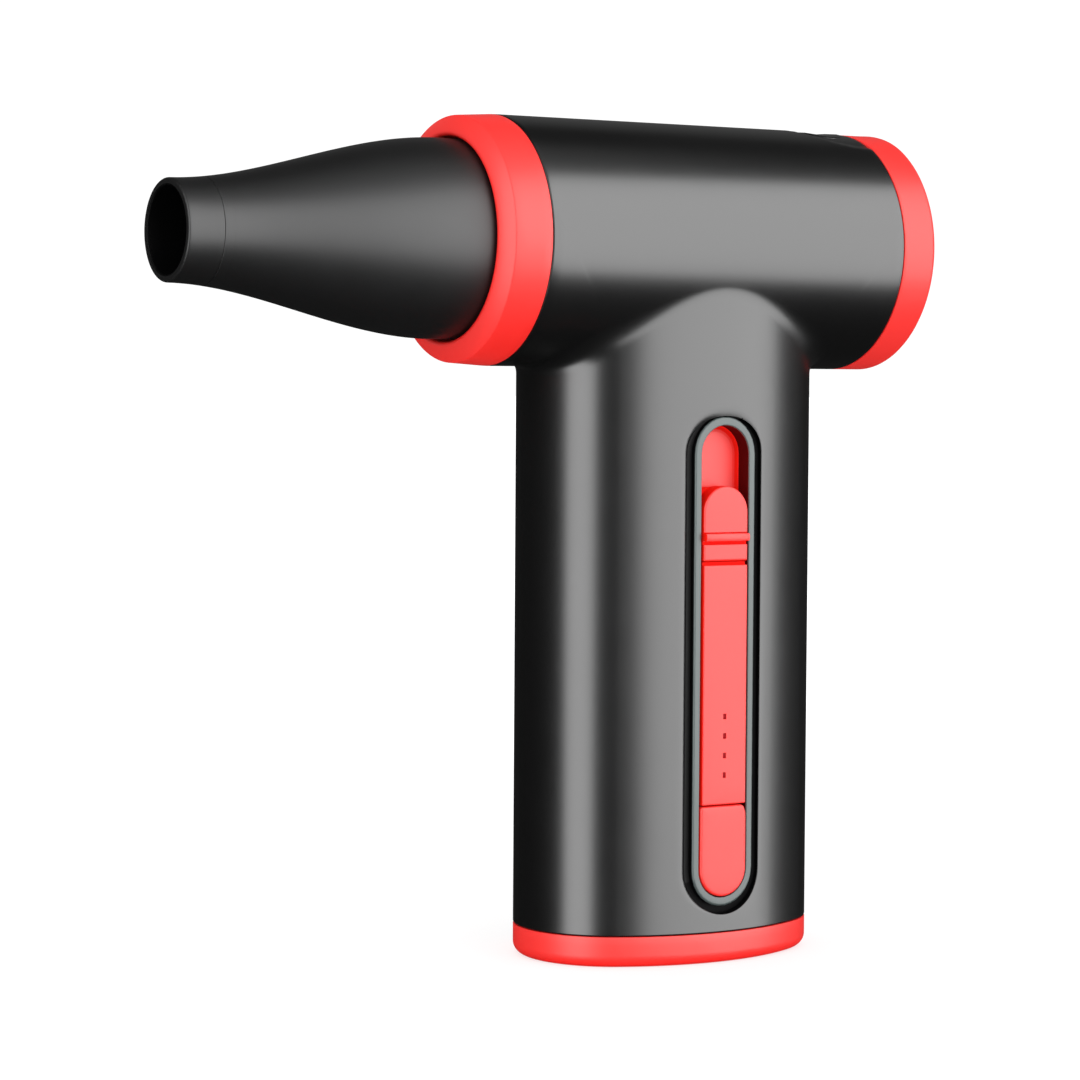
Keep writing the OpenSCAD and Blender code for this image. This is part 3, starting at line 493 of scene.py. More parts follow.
def cut(mesh: bpy.types.Mesh, tools: Sequence[Skin]) -> bpy.types.Mesh:
    """Cut closed tools out of a closed mesh.

    Args:
        mesh: the mesh to cut.
        tools: the closed shapes to take away.

    Returns:
        The mesh that is left.
    """
    blank = linked("blank", mesh)
    helpers = [blank]
    for i, tool in enumerate(tools):
        helper = linked(f"tool_{i}", tool.mesh(f"tool_{i}"))
        helpers.append(helper)
        step = blank.modifiers.new(f"cut_{i}", "BOOLEAN")
        step.operation, step.solver, step.object = "DIFFERENCE", "EXACT", helper
    result = evaluated(blank)
    for helper in helpers:
        bpy.data.objects.remove(helper)
    work = bmesh.new()
    work.from_mesh(result)
    mark_sharp(work, CRISP)
    work.to_mesh(result)
    work.free()
    return result


def joined(mesh: bpy.types.Mesh, extras: Sequence[Skin]) -> bpy.types.Mesh:
    """Add closed shapes to a mesh as they are.

    Args:
        mesh: the mesh that takes them in.
        extras: the shapes to add.

    Returns:
        The same mesh.
    """
    work = bmesh.new()
    work.from_mesh(mesh)
    for extra in extras:
        work.from_mesh(extra.mesh("extra"))
    work.to_mesh(mesh)
    work.free()
    return mesh


def repaint(mesh: bpy.types.Mesh, finishes: Sequence[Finish],
            pick: Callable[[bpy.types.MeshPolygon, Vector], int]) -> None:
    """Give some of a mesh's faces other finishes, darker or less glossy copies that stand as
    painted shade.

    Args:
        mesh: the mesh.
        finishes: the finishes to add after the mesh's own.
        pick: gives a face's finish by number, from the face and its middle in millimetres;
            0 is the mesh's own finish.
    """
    for finish in finishes:
        mesh.materials.append(material_of(finish))
    for face in mesh.polygons:
        face.material_index = pick(face, face.center / MM)


def block(x: Pair, y: Pair, z: Pair) -> Skin:
    """A closed box from three spans."""
    return Skin.capped([(x[0], y[0], h), (x[1], y[0], h), (x[1], y[1], h), (x[0], y[1], h)]
                       for h in z)


def circle(centre: Pair, radius: float, count: int = 32) -> list[Pair]:
    """Points on a circle."""
    turns = [math.tau * i / count for i in range(count)]
    return [(centre[0] + radius * math.cos(t), centre[1] + radius * math.sin(t)) for t in turns]


def arc(centre: Pair, radii: Pair, start: float, end: float, steps: int) -> list[Pair]:
    """Points on an elliptical arc.

    Args:
        centre: the arc's centre.
        radii: its two half axes.
        start: first angle in degrees.
        end: last angle in degrees.
        steps: number of spans.

    Returns:
        The points, both ends included.
    """
    turns = [math.radians(start + (end - start) * i / steps) for i in range(steps + 1)]
    return [(centre[0] + radii[0] * math.cos(t), centre[1] + radii[1] * math.sin(t))
            for t in turns]


def smooth(t: float) -> float:
    """A soft step from 0 to 1."""
    t = min(1.0, max(0.0, t))
    return t * t * (3 - 2 * t)


def lerp(a: float, b: float, t: float) -> float:
    """The value a share t of the way from a to b."""
    return a + (b - a) * t


# ---------------------------------------------------------------- shared forms

@dataclass(frozen=True)
class Axis:
    """The barrel's axis and its solids of revolution."""

    height: float = 157.0

    def turned(self, profile: Sequence[Pair], count: int) -> Skin:
        """Turn a closed profile about the barrel axis.

        Args:
            profile: pairs of position along X and radius.
            count: number of stations round the axis.

        Returns:
            The skin.
        """
        turns = [math.tau * i / count for i in range(count)]
        return Skin.hoop([(x, -r * math.sin(t), self.height - r * math.cos(t)) for t in turns]
                         for x, r in profile)


@dataclass(frozen=True)
class HandleOval:
    """The handle's outline: two end arcs and two shallow side arcs, all tangent."""

    half_length: float = 35.0
    half_width: float = 24.8
    end_radius: float = 21.4

    @property
    def end_centre(self) -> float:
        """Distance of the end arcs' centres from the middle."""
        return self.half_length - self.end_radius

    @property
    def side_radius(self) -> float:
        """Radius of the side arcs."""
        e, w, r = self.end_centre, self.half_width, self.end_radius
        return (e * e + w * w - r * r) / (2 * (w - r))

    @property
    def side_turn(self) -> float:
        """Half the angle of a side arc, in degrees."""
        return math.degrees(math.asin(self.end_centre / (self.side_radius - self.end_radius)))

    def at(self, turn: float) -> tuple[Vector, Vector]:
        """The outline's point with a given outward direction.

        Args:
            turn: the direction's angle from +X, in degrees.

        Returns:
            The point and its outward direction, both flat.
        """
        turn = (turn + 180) % 360 - 180
        out = Vector((math.cos(math.radians(turn)), math.sin(math.radians(turn))))
        centre, radius = Vector((0, 0)), self.end_radius
        if abs(turn) <= 90 - self.side_turn:
            centre = Vector((self.end_centre, 0))
        elif abs(turn) >= 90 + self.side_turn:
            centre = Vector((-self.end_centre, 0))
        else:
            sign = 1 if turn > 0 else -1
            centre = Vector((0, sign * (self.half_width - self.side_radius)))
            radius = self.side_radius
        return centre + out * radius, out

    def drawn_in(self, turn: float, inset: float, z: float) -> Point:
        """The outline's point at a height, moved in by a distance."""
        point, out = self.at(turn)
        point = point - out * inset
        return point.x, point.y, z

    def face_y(self, x: float) -> float:
        """Where the front side of the handle lies at a given X."""
        bend = self.side_radius - math.sqrt(self.side_radius ** 2 - x * x)
        return -self.half_width + bend


def stadium(half_width: float, low: float, high: float, count: int) -> list[Station]:
    """Upright round-ended outline, anticlockwise seen from the front (-Y).

    Args:
        half_width: half its width.
        low: its lowest point.
        high: its highest point.
        count: number of points.

    Returns:
        Its stations.
    """
    straight = high - low - 2 * half_width
    bend = math.pi * half_width
    length = 2 * straight + 2 * bend
    made = []
    for i in range(count):
        s = i / count * length
        if s < straight:
            made.append((half_width, low + half_width + s, 1.0, 0.0))
        elif s < straight + bend:
            t = (s - straight) / half_width
            made.append((half_width * math.cos(t), high - half_width + half_width * math.sin(t),
                         math.cos(t), math.sin(t)))
        elif s < 2 * straight + bend:
            made.append((-half_width, high - half_width - (s - straight - bend), -1.0, 0.0))
        else:
            t = math.pi + (s - 2 * straight - bend) / half_width
            made.append((half_width * math.cos(t), low + half_width + half_width * math.sin(t),
                         math.cos(t), math.sin(t)))
    return made


def slot_rows(outline: Sequence[Station], profile: Sequence[Pair]) -> list[list[Point]]:
    """Rows that follow an upright outline.

    Args:
        outline: its stations.
        profile: pairs of outward offset and Y.

    Returns:
        One row of points for each pair.
    """
    return [[(x + nx * off, y, z + nz * off) for x, z, nx, nz in outline]
            for off, y in profile]


# ---------------------------------------------------------------- the housing

@dataclass
class Housing:
    """Barrel and handle: one smooth moulding with a soft fillet between them.

    The channel round the strip has four gaps: left, right, top and bottom. Its soft edge has a
    width and a depth at the left and at the top, and its other edges are crisp.
    """

    axis: Axis = field(default_factory=Axis)
    oval: HandleOval = field(default_factory=HandleOval)
    radius: float = 27.0
    bore: float = 25.02
    half_length: float = 46.2
    edge: float = 0.3
    fillet_side: float = 8.0
    fillet_end: float = 2.2
    foot: float = 7.0
    step_x: float = 0.84
    step_turn: float = 2.0
    under_span: float = 100.0
    crown_span: int = 26
    patch_margin: float = 2.6
    stem_low: float = 124.4
    channel_reach: float = 13.4
    floor_y: float = -22.7
    lip_half: float = 7.2
    lip_low: float = 13.2
    lip_high: float = 118.8
    rim_half: float = 7.9
    rim_low: float = 12.6
    rim_high: float = 119.4
    channel_half: float = 10.2
    channel_low: float = 10.4
    channel_high: float = 120.0
    gaps: tuple[float, ...] = (1.45, 1.85, 0.15, 1.75)
    soft_width: Pair = (2.5, 2.7)
    soft_depth: Pair = (0.98, 0.4)
    crisp: float = 0.12
    crisp_x: float = 4.0
    crisp_z: float = 18.0
    wall_depths: Pair = (0.3, 1.2)
    button_x: float = 39.5
    button_half_x: float = 5.1
    button_half_y: float = 9.1
    dish_radius: float = 15.0
    dish_depth: float = 0.42

    def on_barrel(self, x: float, turn: float, lift: float = 0.0) -> Vector:
        """A point on the barrel.

        Args:
            x: position along the axis.
            turn: angle from straight down toward the front, in degrees.
            lift: height over the surface.

        Returns:
            The point.
        """
        t = math.radians(turn)
        r = self.radius + lift
        return Vector((x, -r * math.sin(t), self.axis.height - r * math.cos(t)))

    def dish(self, x: float, turn: float) -> float:
        """How far the shallow dish round the button lowers the barrel."""
        across = math.radians(turn - 180) * self.radius
        away = math.hypot(x - self.half_length, across)
        return -self.dish_depth * smooth((self.dish_radius - away) / 1.1 + 0.5)

    def fillet(self, turn: float) -> tuple[Vector, Vector, Vector]:
        """The ball that rolls in the corner between handle and barrel.

        Args:
            turn: outward direction on the handle's outline, in degrees.

        Returns:
            Where it touches the handle and the barrel, and its centre.
        """
        point, out = self.oval.at(turn)
        ball = lerp(self.fillet_end, self.fillet_side, smooth(abs(out.y)) ** 1.5)
        away = point + out * ball
        reach = self.radius + ball
        drop = math.sqrt(max(reach * reach - away.y ** 2, 0.0))
        centre = Vector((away.x, away.y, self.axis.height - drop))
        hub = Vector((away.x, 0, self.axis.height))
        high = hub + (centre - hub) * self.radius / reach
        return Vector((point.x, point.y, centre.z)), high, centre

    def footprint(self, x: float, across: float) -> float:
        """The handle direction whose fillet starts on the line from the footprint's spine.

        Args:
            x: position along the barrel of a point outside the fillet.
            across: its distance round the barrel from straight down.

        Returns:
            The outward direction on the handle's outline, in degrees.
        """
        spine = min(self.oval.end_centre, max(-self.oval.end_centre, x))
        aim = math.degrees(math.atan2(-across, x - spine))
        low, high = aim - 60, aim + 60

        def miss(turn: float) -> float:
            """Signed distance of the fillet's edge from the line."""
            edge = self.fillet(turn)[1]
            round_to = math.atan2(-edge.y, self.axis.height - edge.z) * self.radius
            return round_to * (x - spine) - (edge.x - spine) * across

        side = miss(low) > 0
        for _ in range(44):
            middle = (low + high) / 2
            if (miss(middle) > 0) == side:
                low = middle
            else:
                high = middle
        return (low + high) / 2

    def build(self) -> bpy.types.Object:
        """Make the moulding's outside, its strip channel and its button opening."""
        skin = Skin()
        columns = round((2 * self.half_length - 2 * self.edge) / self.step_x)
        xs = [lerp(-self.half_length + self.edge, self.half_length - self.edge, i / columns)
              for i in range(columns + 1)]
        turns = [-180 + self.step_turn * i for i in range(round(360 / self.step_turn) + 1)]
        grid = [[self.on_barrel(x, t, self.dish(x, t % 360)) for t in turns] for x in xs]
        rows = [skin.ring(r) for r in grid]
        under = [j for j, t in enumerate(turns) if abs(t) <= self.under_span]
        crown = [j for j, t in enumerate(turns) if abs(abs(t) - 180) <= self.crown_span]
        patch = self.button_x - self.button_half_x - self.patch_margin
        rear = [i for i, x in enumerate(xs) if x > patch][:-1]
        for i in range(columns):
            for j in range(len(turns) - 1):
                if under[0] <= j < under[-1]:
                    continue
                if rear[0] <= i < rear[-1] and j in crown and j + 1 in crown:
                    continue
                skin.faces.append((rows[i][j], rows[i + 1][j], rows[i + 1][j + 1], rows[i][j + 1]))
        self.close_ends(skin, turns)
        self.button_hole(skin, xs, rear)
        self.stem(skin, xs, [turns[j] for j in under])
        shell = skin.piece("housing_shell", BLACK, Body.FIXED, ["main_housing"], 30)
        # The channel's walls and floor take darker, less glossy blacks: painted shade.
        repaint(shell.data, [CHANNEL_SHADE_BLACK, CHANNEL_FLOOR_SHADE], self.channel_painted_shade)
        return shell

    def close_ends(self, skin: Skin, turns: Sequence[float]) -> None:
        """Round the barrel's two ends and line its bore.

        Args:
            skin: the skin to add to.
            turns: the barrel's angle stations.
        """
        edge = arc((self.half_length - self.edge, self.radius - self.edge),
                   (self.edge, self.edge), 90, 0, 3)
        inner = [(self.half_length, self.bore), (-self.half_length, self.bore)]
        path = edge + inner + [(-x, r) for x, r in reversed(edge)]
        loops = []
        for x, r in path:
            loops.append([self.on_barrel(x, t, r - self.radius
                                         + (self.dish(x, t % 360) if r > self.bore + 1 else 0))
                          for t in turns[:-1]])
        skin.loft(loops)

    def button_hole(self, skin: Skin, xs: Sequence[float], rear: Sequence[int]) -> None:
        """Fit the barrel's skin round the oval button opening.

        Args:
            skin: the skin to add to.
            xs: the barrel's stations along its axis.
            rear: the stations along the axis that the patch spans.
        """
        angles = [180 + t for t in range(-self.crown_span, self.crown_span + 1,
                                         round(self.step_turn))]
        x0, x1 = xs[rear[0]], xs[rear[-1]]
        loop = [(x0, t) for t in angles[:-1]] + [(xs[i], angles[-1]) for i in rear[:-1]]
        loop += [(x1, t) for t in reversed(angles[1:])]
        loop += [(xs[i], angles[0]) for i in reversed(rear[1:])]
        half = self.button_half_x
        reach = self.button_half_y - half
        rows: list[list[Vector]] = []
        hole = []
        for x, t in loop:
            across = math.radians(t - 180) * self.radius
            near = max(-reach, min(reach, across))
            way = Vector((x - self.button_x, across - near))
            way = way.normalized() if way.length > 1e-6 else Vector((1, 0))
            hole.append((self.button_x + way.x * half, near + way.y * half))
        steps = 6
        for k in range(steps + 1):
            share = (smooth(k / steps) + k / steps) / 2
            row = []
            for (x, t), (hx, ha) in zip(loop, hole):
                ax = lerp(x, hx, share)
                at = lerp(t, 180 + math.degrees(ha / self.radius), share)
                row.append(self.on_barrel(ax, at, self.dish(ax, at)))
            rows.append(row)
        for sink, draw in ((0.12, 0.05), (0.3, 0.12), (1.9, 0.12)):
            row = []
            for hx, ha in hole:
                turn = math.degrees(ha / self.radius)
                row.append(self.on_barrel(hx + (self.button_x - hx) * draw / half,
                                          180 + turn * (1 - draw / 12),
                                          self.dish(hx, 180 + turn) - sink))
            rows.append(row)
        skin.loft(rows)

    def stem(self, skin: Skin, xs: Sequence[float], under: Sequence[float]) -> None:
        """Join the barrel's underside to the handle through the fillet.

        Args:
            skin: the skin to add to.
            xs: the barrel's stations along its axis.
            under: the angle stations of its underside.
        """
        loop = [(x, under[-1]) for x in xs[:-1]] + [(xs[-1], t) for t in reversed(under[1:])]
        loop += [(x, under[0]) for x in reversed(xs[1:])] + [(xs[0], t) for t in under[:-1]]
        turns = [self.footprint(x, math.radians(t) * self.radius) for x, t in loop]
        balls = [self.fillet(turn) for turn in turns]
        rows: list[list[Vector]] = []
        for k in range(9):
            share = 1 - (1 - k / 9) ** 1.4
            row = []
            for (x, t), (_, high, _) in zip(loop, balls):
                at = math.degrees(math.atan2(-high.y, self.axis.height - high.z))
                row.append(self.on_barrel(lerp(x, high.x, share), lerp(t, at, share)))
            rows.append(row)
        for share in (k / 10 for k in range(11)):
            row = []
            for low, high, centre in balls:
                a, b = high - centre, low - centre
                bend = a.angle(b, 0.0)
                if bend < 1e-5:
                    row.append(high.lerp(low, share))
                    continue
                row.append(centre + (a * math.sin((1 - share) * bend)
                                     + b * math.sin(share * bend)) / math.sin(bend))
            rows.append(row)
        for share in (k / 7 for k in range(1, 8)):
            rows.append([Vector((low.x, low.y, lerp(low.z, self.stem_low, share)))
                         for low, _, _ in balls])
        skin.loft(rows)
        self.handle(skin, turns)

    def handle(self, skin: Skin, turns: Sequence[float]) -> None:
        """The handle's wall below the fillet, with the strip's channel let into its front.

        Args:
            skin: the skin to add to.
            turns: the outline directions of its columns.
        """
        steps = 66
        levels = [lerp(self.stem_low, self.foot + 1.0, k / steps) for k in range(steps + 1)]
        flat = [self.oval.at(t)[0] for t in turns]
        count = len(flat)
        front = sorted((i for i, p in enumerate(flat) if p.y < 0 and abs(p.x) < self.channel_reach),
                       key=lambda i: flat[i].x)
        inside = set(front)
        rows = [skin.ring([(p.x, p.y, z) for p in flat]) for z in levels]
        for a, b in zip(rows, rows[1:]):
            for i in range(count):
                j = (i + 1) % count
                if not (i in inside and j in inside):
                    skin.faces.append((a[i], a[j], b[j], b[i]))
        foot = [(0.0, 1.0), (0.0, 0.6), (0.0, 0.25), (0.12, 0.05), (0.3, 0.0), (2.0, 0.0),
                (2.0, 3.0)]
        skin.loft([self.oval.drawn_in(turn, inset, self.foot + rise) for turn in turns]
                  for inset, rise in foot)
        self.channel(skin, [flat[i].x for i in front], levels[::-1])

    def channel(self, skin: Skin, xs: Sequence[float], up: Sequence[float]) -> None:
        """The sunk channel that frames the control strip: soft at its left, crisp at its right.

        Args:
            skin: the skin to add to.
            xs: the patch's stations from left to right.
            up: its heights from bottom to top.
        """
        loop = [(xs[-1], z) for z in up[:-1]] + [(x, up[-1]) for x in reversed(xs[1:])]
        loop += [(xs[0], z) for z in reversed(up[1:])] + [(x, up[0]) for x in xs[:-1]]

        def pulled(half: float, low: float, high: float) -> list[tuple[Vector, Vector]]:
            """The loop drawn onto an upright round-ended outline, with outward directions."""
            made = []
            for x, z in loop:
                near = Vector((0.0, max(low + half, min(high - half, z))))
                way = Vector((x, z)) - near
                way = way.normalized() if way.length > 1e-6 else Vector((1, 0))
                made.append((near + way * half, way))
            return made

        wall, edges = [], []
        for point, way in pulled(self.rim_half, self.rim_low, self.rim_high):
            sides = [max(0.0, part) ** 2 for part in (-way.x, way.x, way.y, -way.y)]
            wall.append((point + way * sum(gap * side for gap, side in zip(self.gaps, sides)), way))
            left, right, top, bottom = sides
            crisp = self.crisp * (right + bottom)
            edges.append((self.soft_width[0] * left + self.soft_width[1] * top + crisp,
                          self.soft_depth[0] * left + self.soft_depth[1] * top + crisp,
                          2.0 + left))
        rows: list[list[Point]] = []
        for share in (k / 3 for k in range(4)):
            row = []
            for (x, z), (point, way), (soft, _, _) in zip(loop, wall, edges):
                spot = Vector((x, z)).lerp(point + way * soft, share)
                row.append((spot.x, self.oval.face_y(spot.x), spot.y))
            rows.append(row)
        for share in (k / 10 for k in range(1, 11)):
            row = []
            for (point, way), (soft, sink, power) in zip(wall, edges):
                spot = point + way * soft * (1 - share)
                drop = min(sink * share ** power,
                           self.floor_y - self.oval.face_y(spot.x) - 0.12)
                row.append((spot.x, self.oval.face_y(spot.x) + drop, spot.y))
            rows.append(row)
        for inset, y in ((0.03, self.floor_y - 0.1), (0.12, self.floor_y)):
            rows.append([(point.x - way.x * inset, y, point.y - way.y * inset)
                         for point, way in wall])
        lip = pulled(self.lip_half, self.lip_low, self.lip_high)
        rows += [[(point.x, y, point.y) for point, _ in lip]
                 for y in (self.floor_y, self.floor_y + 1.0)]
        skin.loft(rows)

    def channel_painted_shade(self, face: bpy.types.MeshPolygon, middle: Vector) -> int:
        """Which painted shade a face has: 1, a darker glossless black, on the channel's crisp
        walls, 2 on its floor, 0 elsewhere.
        """
        x, y, z = middle
        if abs(x) > self.channel_half or not self.channel_low < z < self.channel_high:
            return 0
        if not -25 < y < self.floor_y + 0.1:
            return 0
        start, soft_start = self.wall_depths
        if x <= self.crisp_x:
            start = lerp(start, soft_start, smooth((z - 12) / 6))
        crisp = x > self.crisp_x or z < self.crisp_z
        if crisp and (y > self.floor_y - 0.15 or y - self.oval.face_y(x) > start):
            return 1
        return 2 if y > self.floor_y - 0.3 else 0


# ---------------------------------------------------------------- rings, nozzle, base

@dataclass
class FrontRing:
    """The coloured ring that holds the nozzle."""

    axis: Axis = field(default_factory=Axis)
    radius: float = 27.0
    rear: float = -46.35
    edge_x: float = -55.0
    edge_radius: float = 26.4
    edge_roll: float = 0.2
    face: float = -57.4
    socket: float = 21.9
    socket_step: float = -52.0
    spigot: float = 24.9
    spigot_end: float = -41.2
    lip_roll: float = 0.8
    lip_rise: float = 0.4
    dome_width: float = 4.1
    dome_power: float = 1.4

    def front(self, share: float) -> Pair:
        """A point on the domed front, from the lip (0) to the outer edge (1)."""
        return (self.face + (self.edge_x - self.face) * share ** self.dome_power,
                lerp(self.socket + self.lip_rise, self.edge_radius, share))

    def build(self) -> bpy.types.Object:
        """Make the ring: a slightly tapered side, a domed front and a rolled lip."""
        outer = [(self.rear, self.radius - 0.25), (self.rear - 0.08, self.radius - 0.08),
                 (self.rear - 0.25, self.radius - 0.02)]
        near = self.edge_x + self.edge_roll
        outer += [(lerp(self.rear, near, t), lerp(self.radius, self.edge_radius + 0.04, t))
                  for t in (0.25, 0.5, 0.75, 1.0)]
        top = 1 - self.edge_roll / 4.0
        a, b = Vector(outer[-1]), Vector((self.edge_x, self.edge_radius))
        c = Vector(self.front(top))
        outer += [tuple(a.lerp(b, t).lerp(b.lerp(c, t), t)) for t in (0.2, 0.4, 0.6, 0.8, 1.0)]
        low = (self.lip_roll - self.lip_rise) / self.dome_width
        outer += [self.front(lerp(top, low, i / 10)) for i in range(1, 11)]
        x, r = outer[-1]
        lip = arc((x + self.lip_roll, r), (self.lip_roll, r - self.socket), 180, 270, 7)[1:]
        inner = [(self.socket_step, self.socket), (self.spigot_end, self.socket),
                 (self.spigot_end, self.spigot), (self.rear, self.spigot)]
        skin = self.axis.turned(outer + lip + inner, 224)
        return skin.piece("front_ring_shell", CORAL, Body.FIXED, ["front_ring"])


@dataclass
class RearRing:
    """The domed coloured ring round the air intake."""

    axis: Axis = field(default_factory=Axis)
    radius: float = 27.0
    front: float = 46.35
    face: float = 57.0
    intake: float = 19.0
    roll: float = 3.0
    seat: float = 21.6
    seat_depth: float = 9.0
    spigot: float = 24.9
    spigot_bore: float = 23.3
    spigot_end: float = 41.2
    hollow: float = 0.42
    hollow_reach: float = 17.0
    hollow_fade: float = 12.0
    hollow_inner: float = 21.0
    hollow_rise: float = 5.0

    def build(self) -> bpy.types.Object:
        """Make the ring, let the button's dish run on over it and clear room for its switch."""
        drop = self.radius - self.intake
        outer = [(self.front, self.radius - 0.25), (self.front + 0.08, self.radius - 0.08),
                 (self.front + 0.25, self.radius)]
        outer += [(lerp(self.front + 0.25, self.face - self.roll - 0.2, i / 10), self.radius)
                  for i in range(1, 11)]
        dome = arc((self.face - self.roll, self.radius - drop), (self.roll, drop), 88, 0, 16)
        seat = self.face - self.seat_depth
        inner = [(self.face - 0.2, self.intake - 0.05), (self.face - 1.8, self.intake),
                 (self.face - 1.8, self.seat), (seat, self.seat), (seat, self.spigot_bore),
                 (self.spigot_end, self.spigot_bore), (self.spigot_end, self.spigot),
                 (self.front, self.spigot)]
        skin = self.axis.turned(outer + dome + inner, 224)
        for point in skin.points:
            out = math.hypot(point.y, point.z - self.axis.height)
            if point.x < self.front - 0.01 or out < self.intake + 2:
                continue
            across = math.atan2(point.y, point.z - self.axis.height) * out
            away = math.hypot(point.x - self.front, across)
            fade = smooth((self.hollow_reach - away) / self.hollow_fade)
            rise = smooth((out - self.hollow_inner) / self.hollow_rise)
            kept = 1 - self.hollow * (fade * rise) / out
            point.y *= kept
            point.z = self.axis.height + (point.z - self.axis.height) * kept
        notch = block((30, 46.2), (-9.6, 9.6), (179.2, 190.0))
        return place(cut(skin.mesh("rear_ring_shell"), [notch]), "rear_ring_shell", CORAL,
                     Body.FIXED, ["rear_ring"])


@dataclass
class Nozzle:
    """The push-in nozzle: an S-shaped taper with a thin-lipped round mouth."""

    axis: Axis = field(default_factory=Axis)
    reach: float = 122.4
    mouth: float = 10.7
    bore: float = 9.1
    root: float = 21.4
    shoulder: float = -60.0
    rear: float = -44.2
    wall: float = 1.7
    lip_roll: float = 0.5
    inner_roll: float = 0.35
    throat_depth: float = 8.4
    groove: Pair = (-51.9, -50.1)
    groove_depth: float = 0.8
    band: float = -113.4
    band_half: float = 1.05
    band_depth: float = 0.7
    band_gap: float = 0.01
    seam: float = 0.14

    def outside(self, x: float) -> float:
        """Outside radius at a position along the axis."""
        share = smooth((x + self.reach) / (self.shoulder + self.reach))
        return lerp(self.mouth, self.root, share)

    def build(self) -> list[bpy.types.Object]:
        """Make the nozzle and its inlaid band."""
        x0, roll, small = -self.reach, self.lip_roll, self.inner_roll
        x1, x2 = self.band - self.band_half, self.band + self.band_half
        lip = arc((x0 + roll, self.mouth - roll), (roll, roll), 180, 90, 5)
        front = [(x, self.outside(x)) for x in
                 (lerp(x0 + 0.9, x1 - self.seam, i / 6) for i in range(7))]
        dip = [(x, self.outside(self.band) - self.band_depth) for x in (x1 - self.seam, x2)]
        run = [(x, self.outside(x)) for x in (lerp(x2, self.shoulder, i / 46) for i in range(47))]
        start, end = self.groove
        tail = [(start, self.root), (start, self.root - self.groove_depth),
                (end, self.root - self.groove_depth), (end, self.root),
                (self.rear - 0.5, self.root), (self.rear, self.root - 0.5),
                (self.rear, self.root - self.wall)]
        inside = [(x, self.outside(x) - self.wall) for x in
                  (lerp(self.shoulder, -110.0, i / 30) for i in range(31))]
        throat = [(x0 + self.throat_depth, self.bore), (x0 + 0.5, self.bore)]
        throat += arc((x0 + small, self.bore + small), (small, small), 270, 180, 4)
        skin = self.axis.turned(lip + front + dip + run + tail + inside + throat, 192)
        body = skin.piece("nozzle_shell", NOZZLE_BLACK, Body.NOZZLE, ["nozzle"], 40)
        # The inside of the mouth takes a darker, less glossy black: painted shade.
        repaint(body.data, [THROAT_SHADE_BLACK], self.throat_painted_shade)
        x2 -= self.band_gap
        depth = self.outside(self.band) - 0.62
        band = [(x1, depth), (x2, depth), (x2, self.outside(x2)), (x1 + 0.05, self.outside(x1)),
                (x1, self.outside(x1) - 0.05)]
        trim = self.axis.turned(band, 192).piece("nozzle_trim", NOZZLE_BLACK, Body.NOZZLE,
                                                 ["nozzle_band"], 25)
        return [body, trim]

    def throat_painted_shade(self, face: bpy.types.MeshPolygon, middle: Vector) -> int:
        """1 for faces inside the nozzle, which take a darker painted shade, 0 for those outside."""
        away = math.hypot(middle.y, middle.z - self.axis.height)
        return int(away < self.outside(middle.x) - self.wall / 2 - 0.1)


@dataclass
class BaseCap:
    """The coloured base cap with its rounded lower edge and four sunk screws."""

    oval: HandleOval = field(default_factory=HandleOval)
    top: float = 6.85
    roll: float = 2.8
    screw_x: float = 24.0
    screw_y: float = 12.0
    hole: float = 2.4
    hole_top: float = 3.6
    columns: int = 240

    def build(self) -> bpy.types.Object:
        """Make the cap and sink its screw holes."""
        path = [(2.2, self.top - 1.0), (2.2, self.top), (0.25, self.top), (0.07, self.top - 0.07),
                (0, self.top - 0.25), (0, self.top - 2)]
        path += [(self.roll - x, z) for x, z in arc((0, self.roll), (self.roll, self.roll),
                                                    0, -90, 12)]
        skin = Skin.capped([self.oval.drawn_in(360 * i / self.columns, inset, z)
                            for i in range(self.columns)] for inset, z in path)
        spots = [(sx * self.screw_x, sy * self.screw_y) for sx in (-1, 1) for sy in (-1, 1)]
        holes = [Skin.capped([(x, y, z) for x, y in circle(spot, self.hole)]
                             for z in (-1.0, self.hole_top)) for spot in spots]
        return place(cut(skin.mesh("base_shell"), holes), "base_shell", CORAL, Body.FIXED,
                     ["base_cap"])


# ---------------------------------------------------------------- the control strip

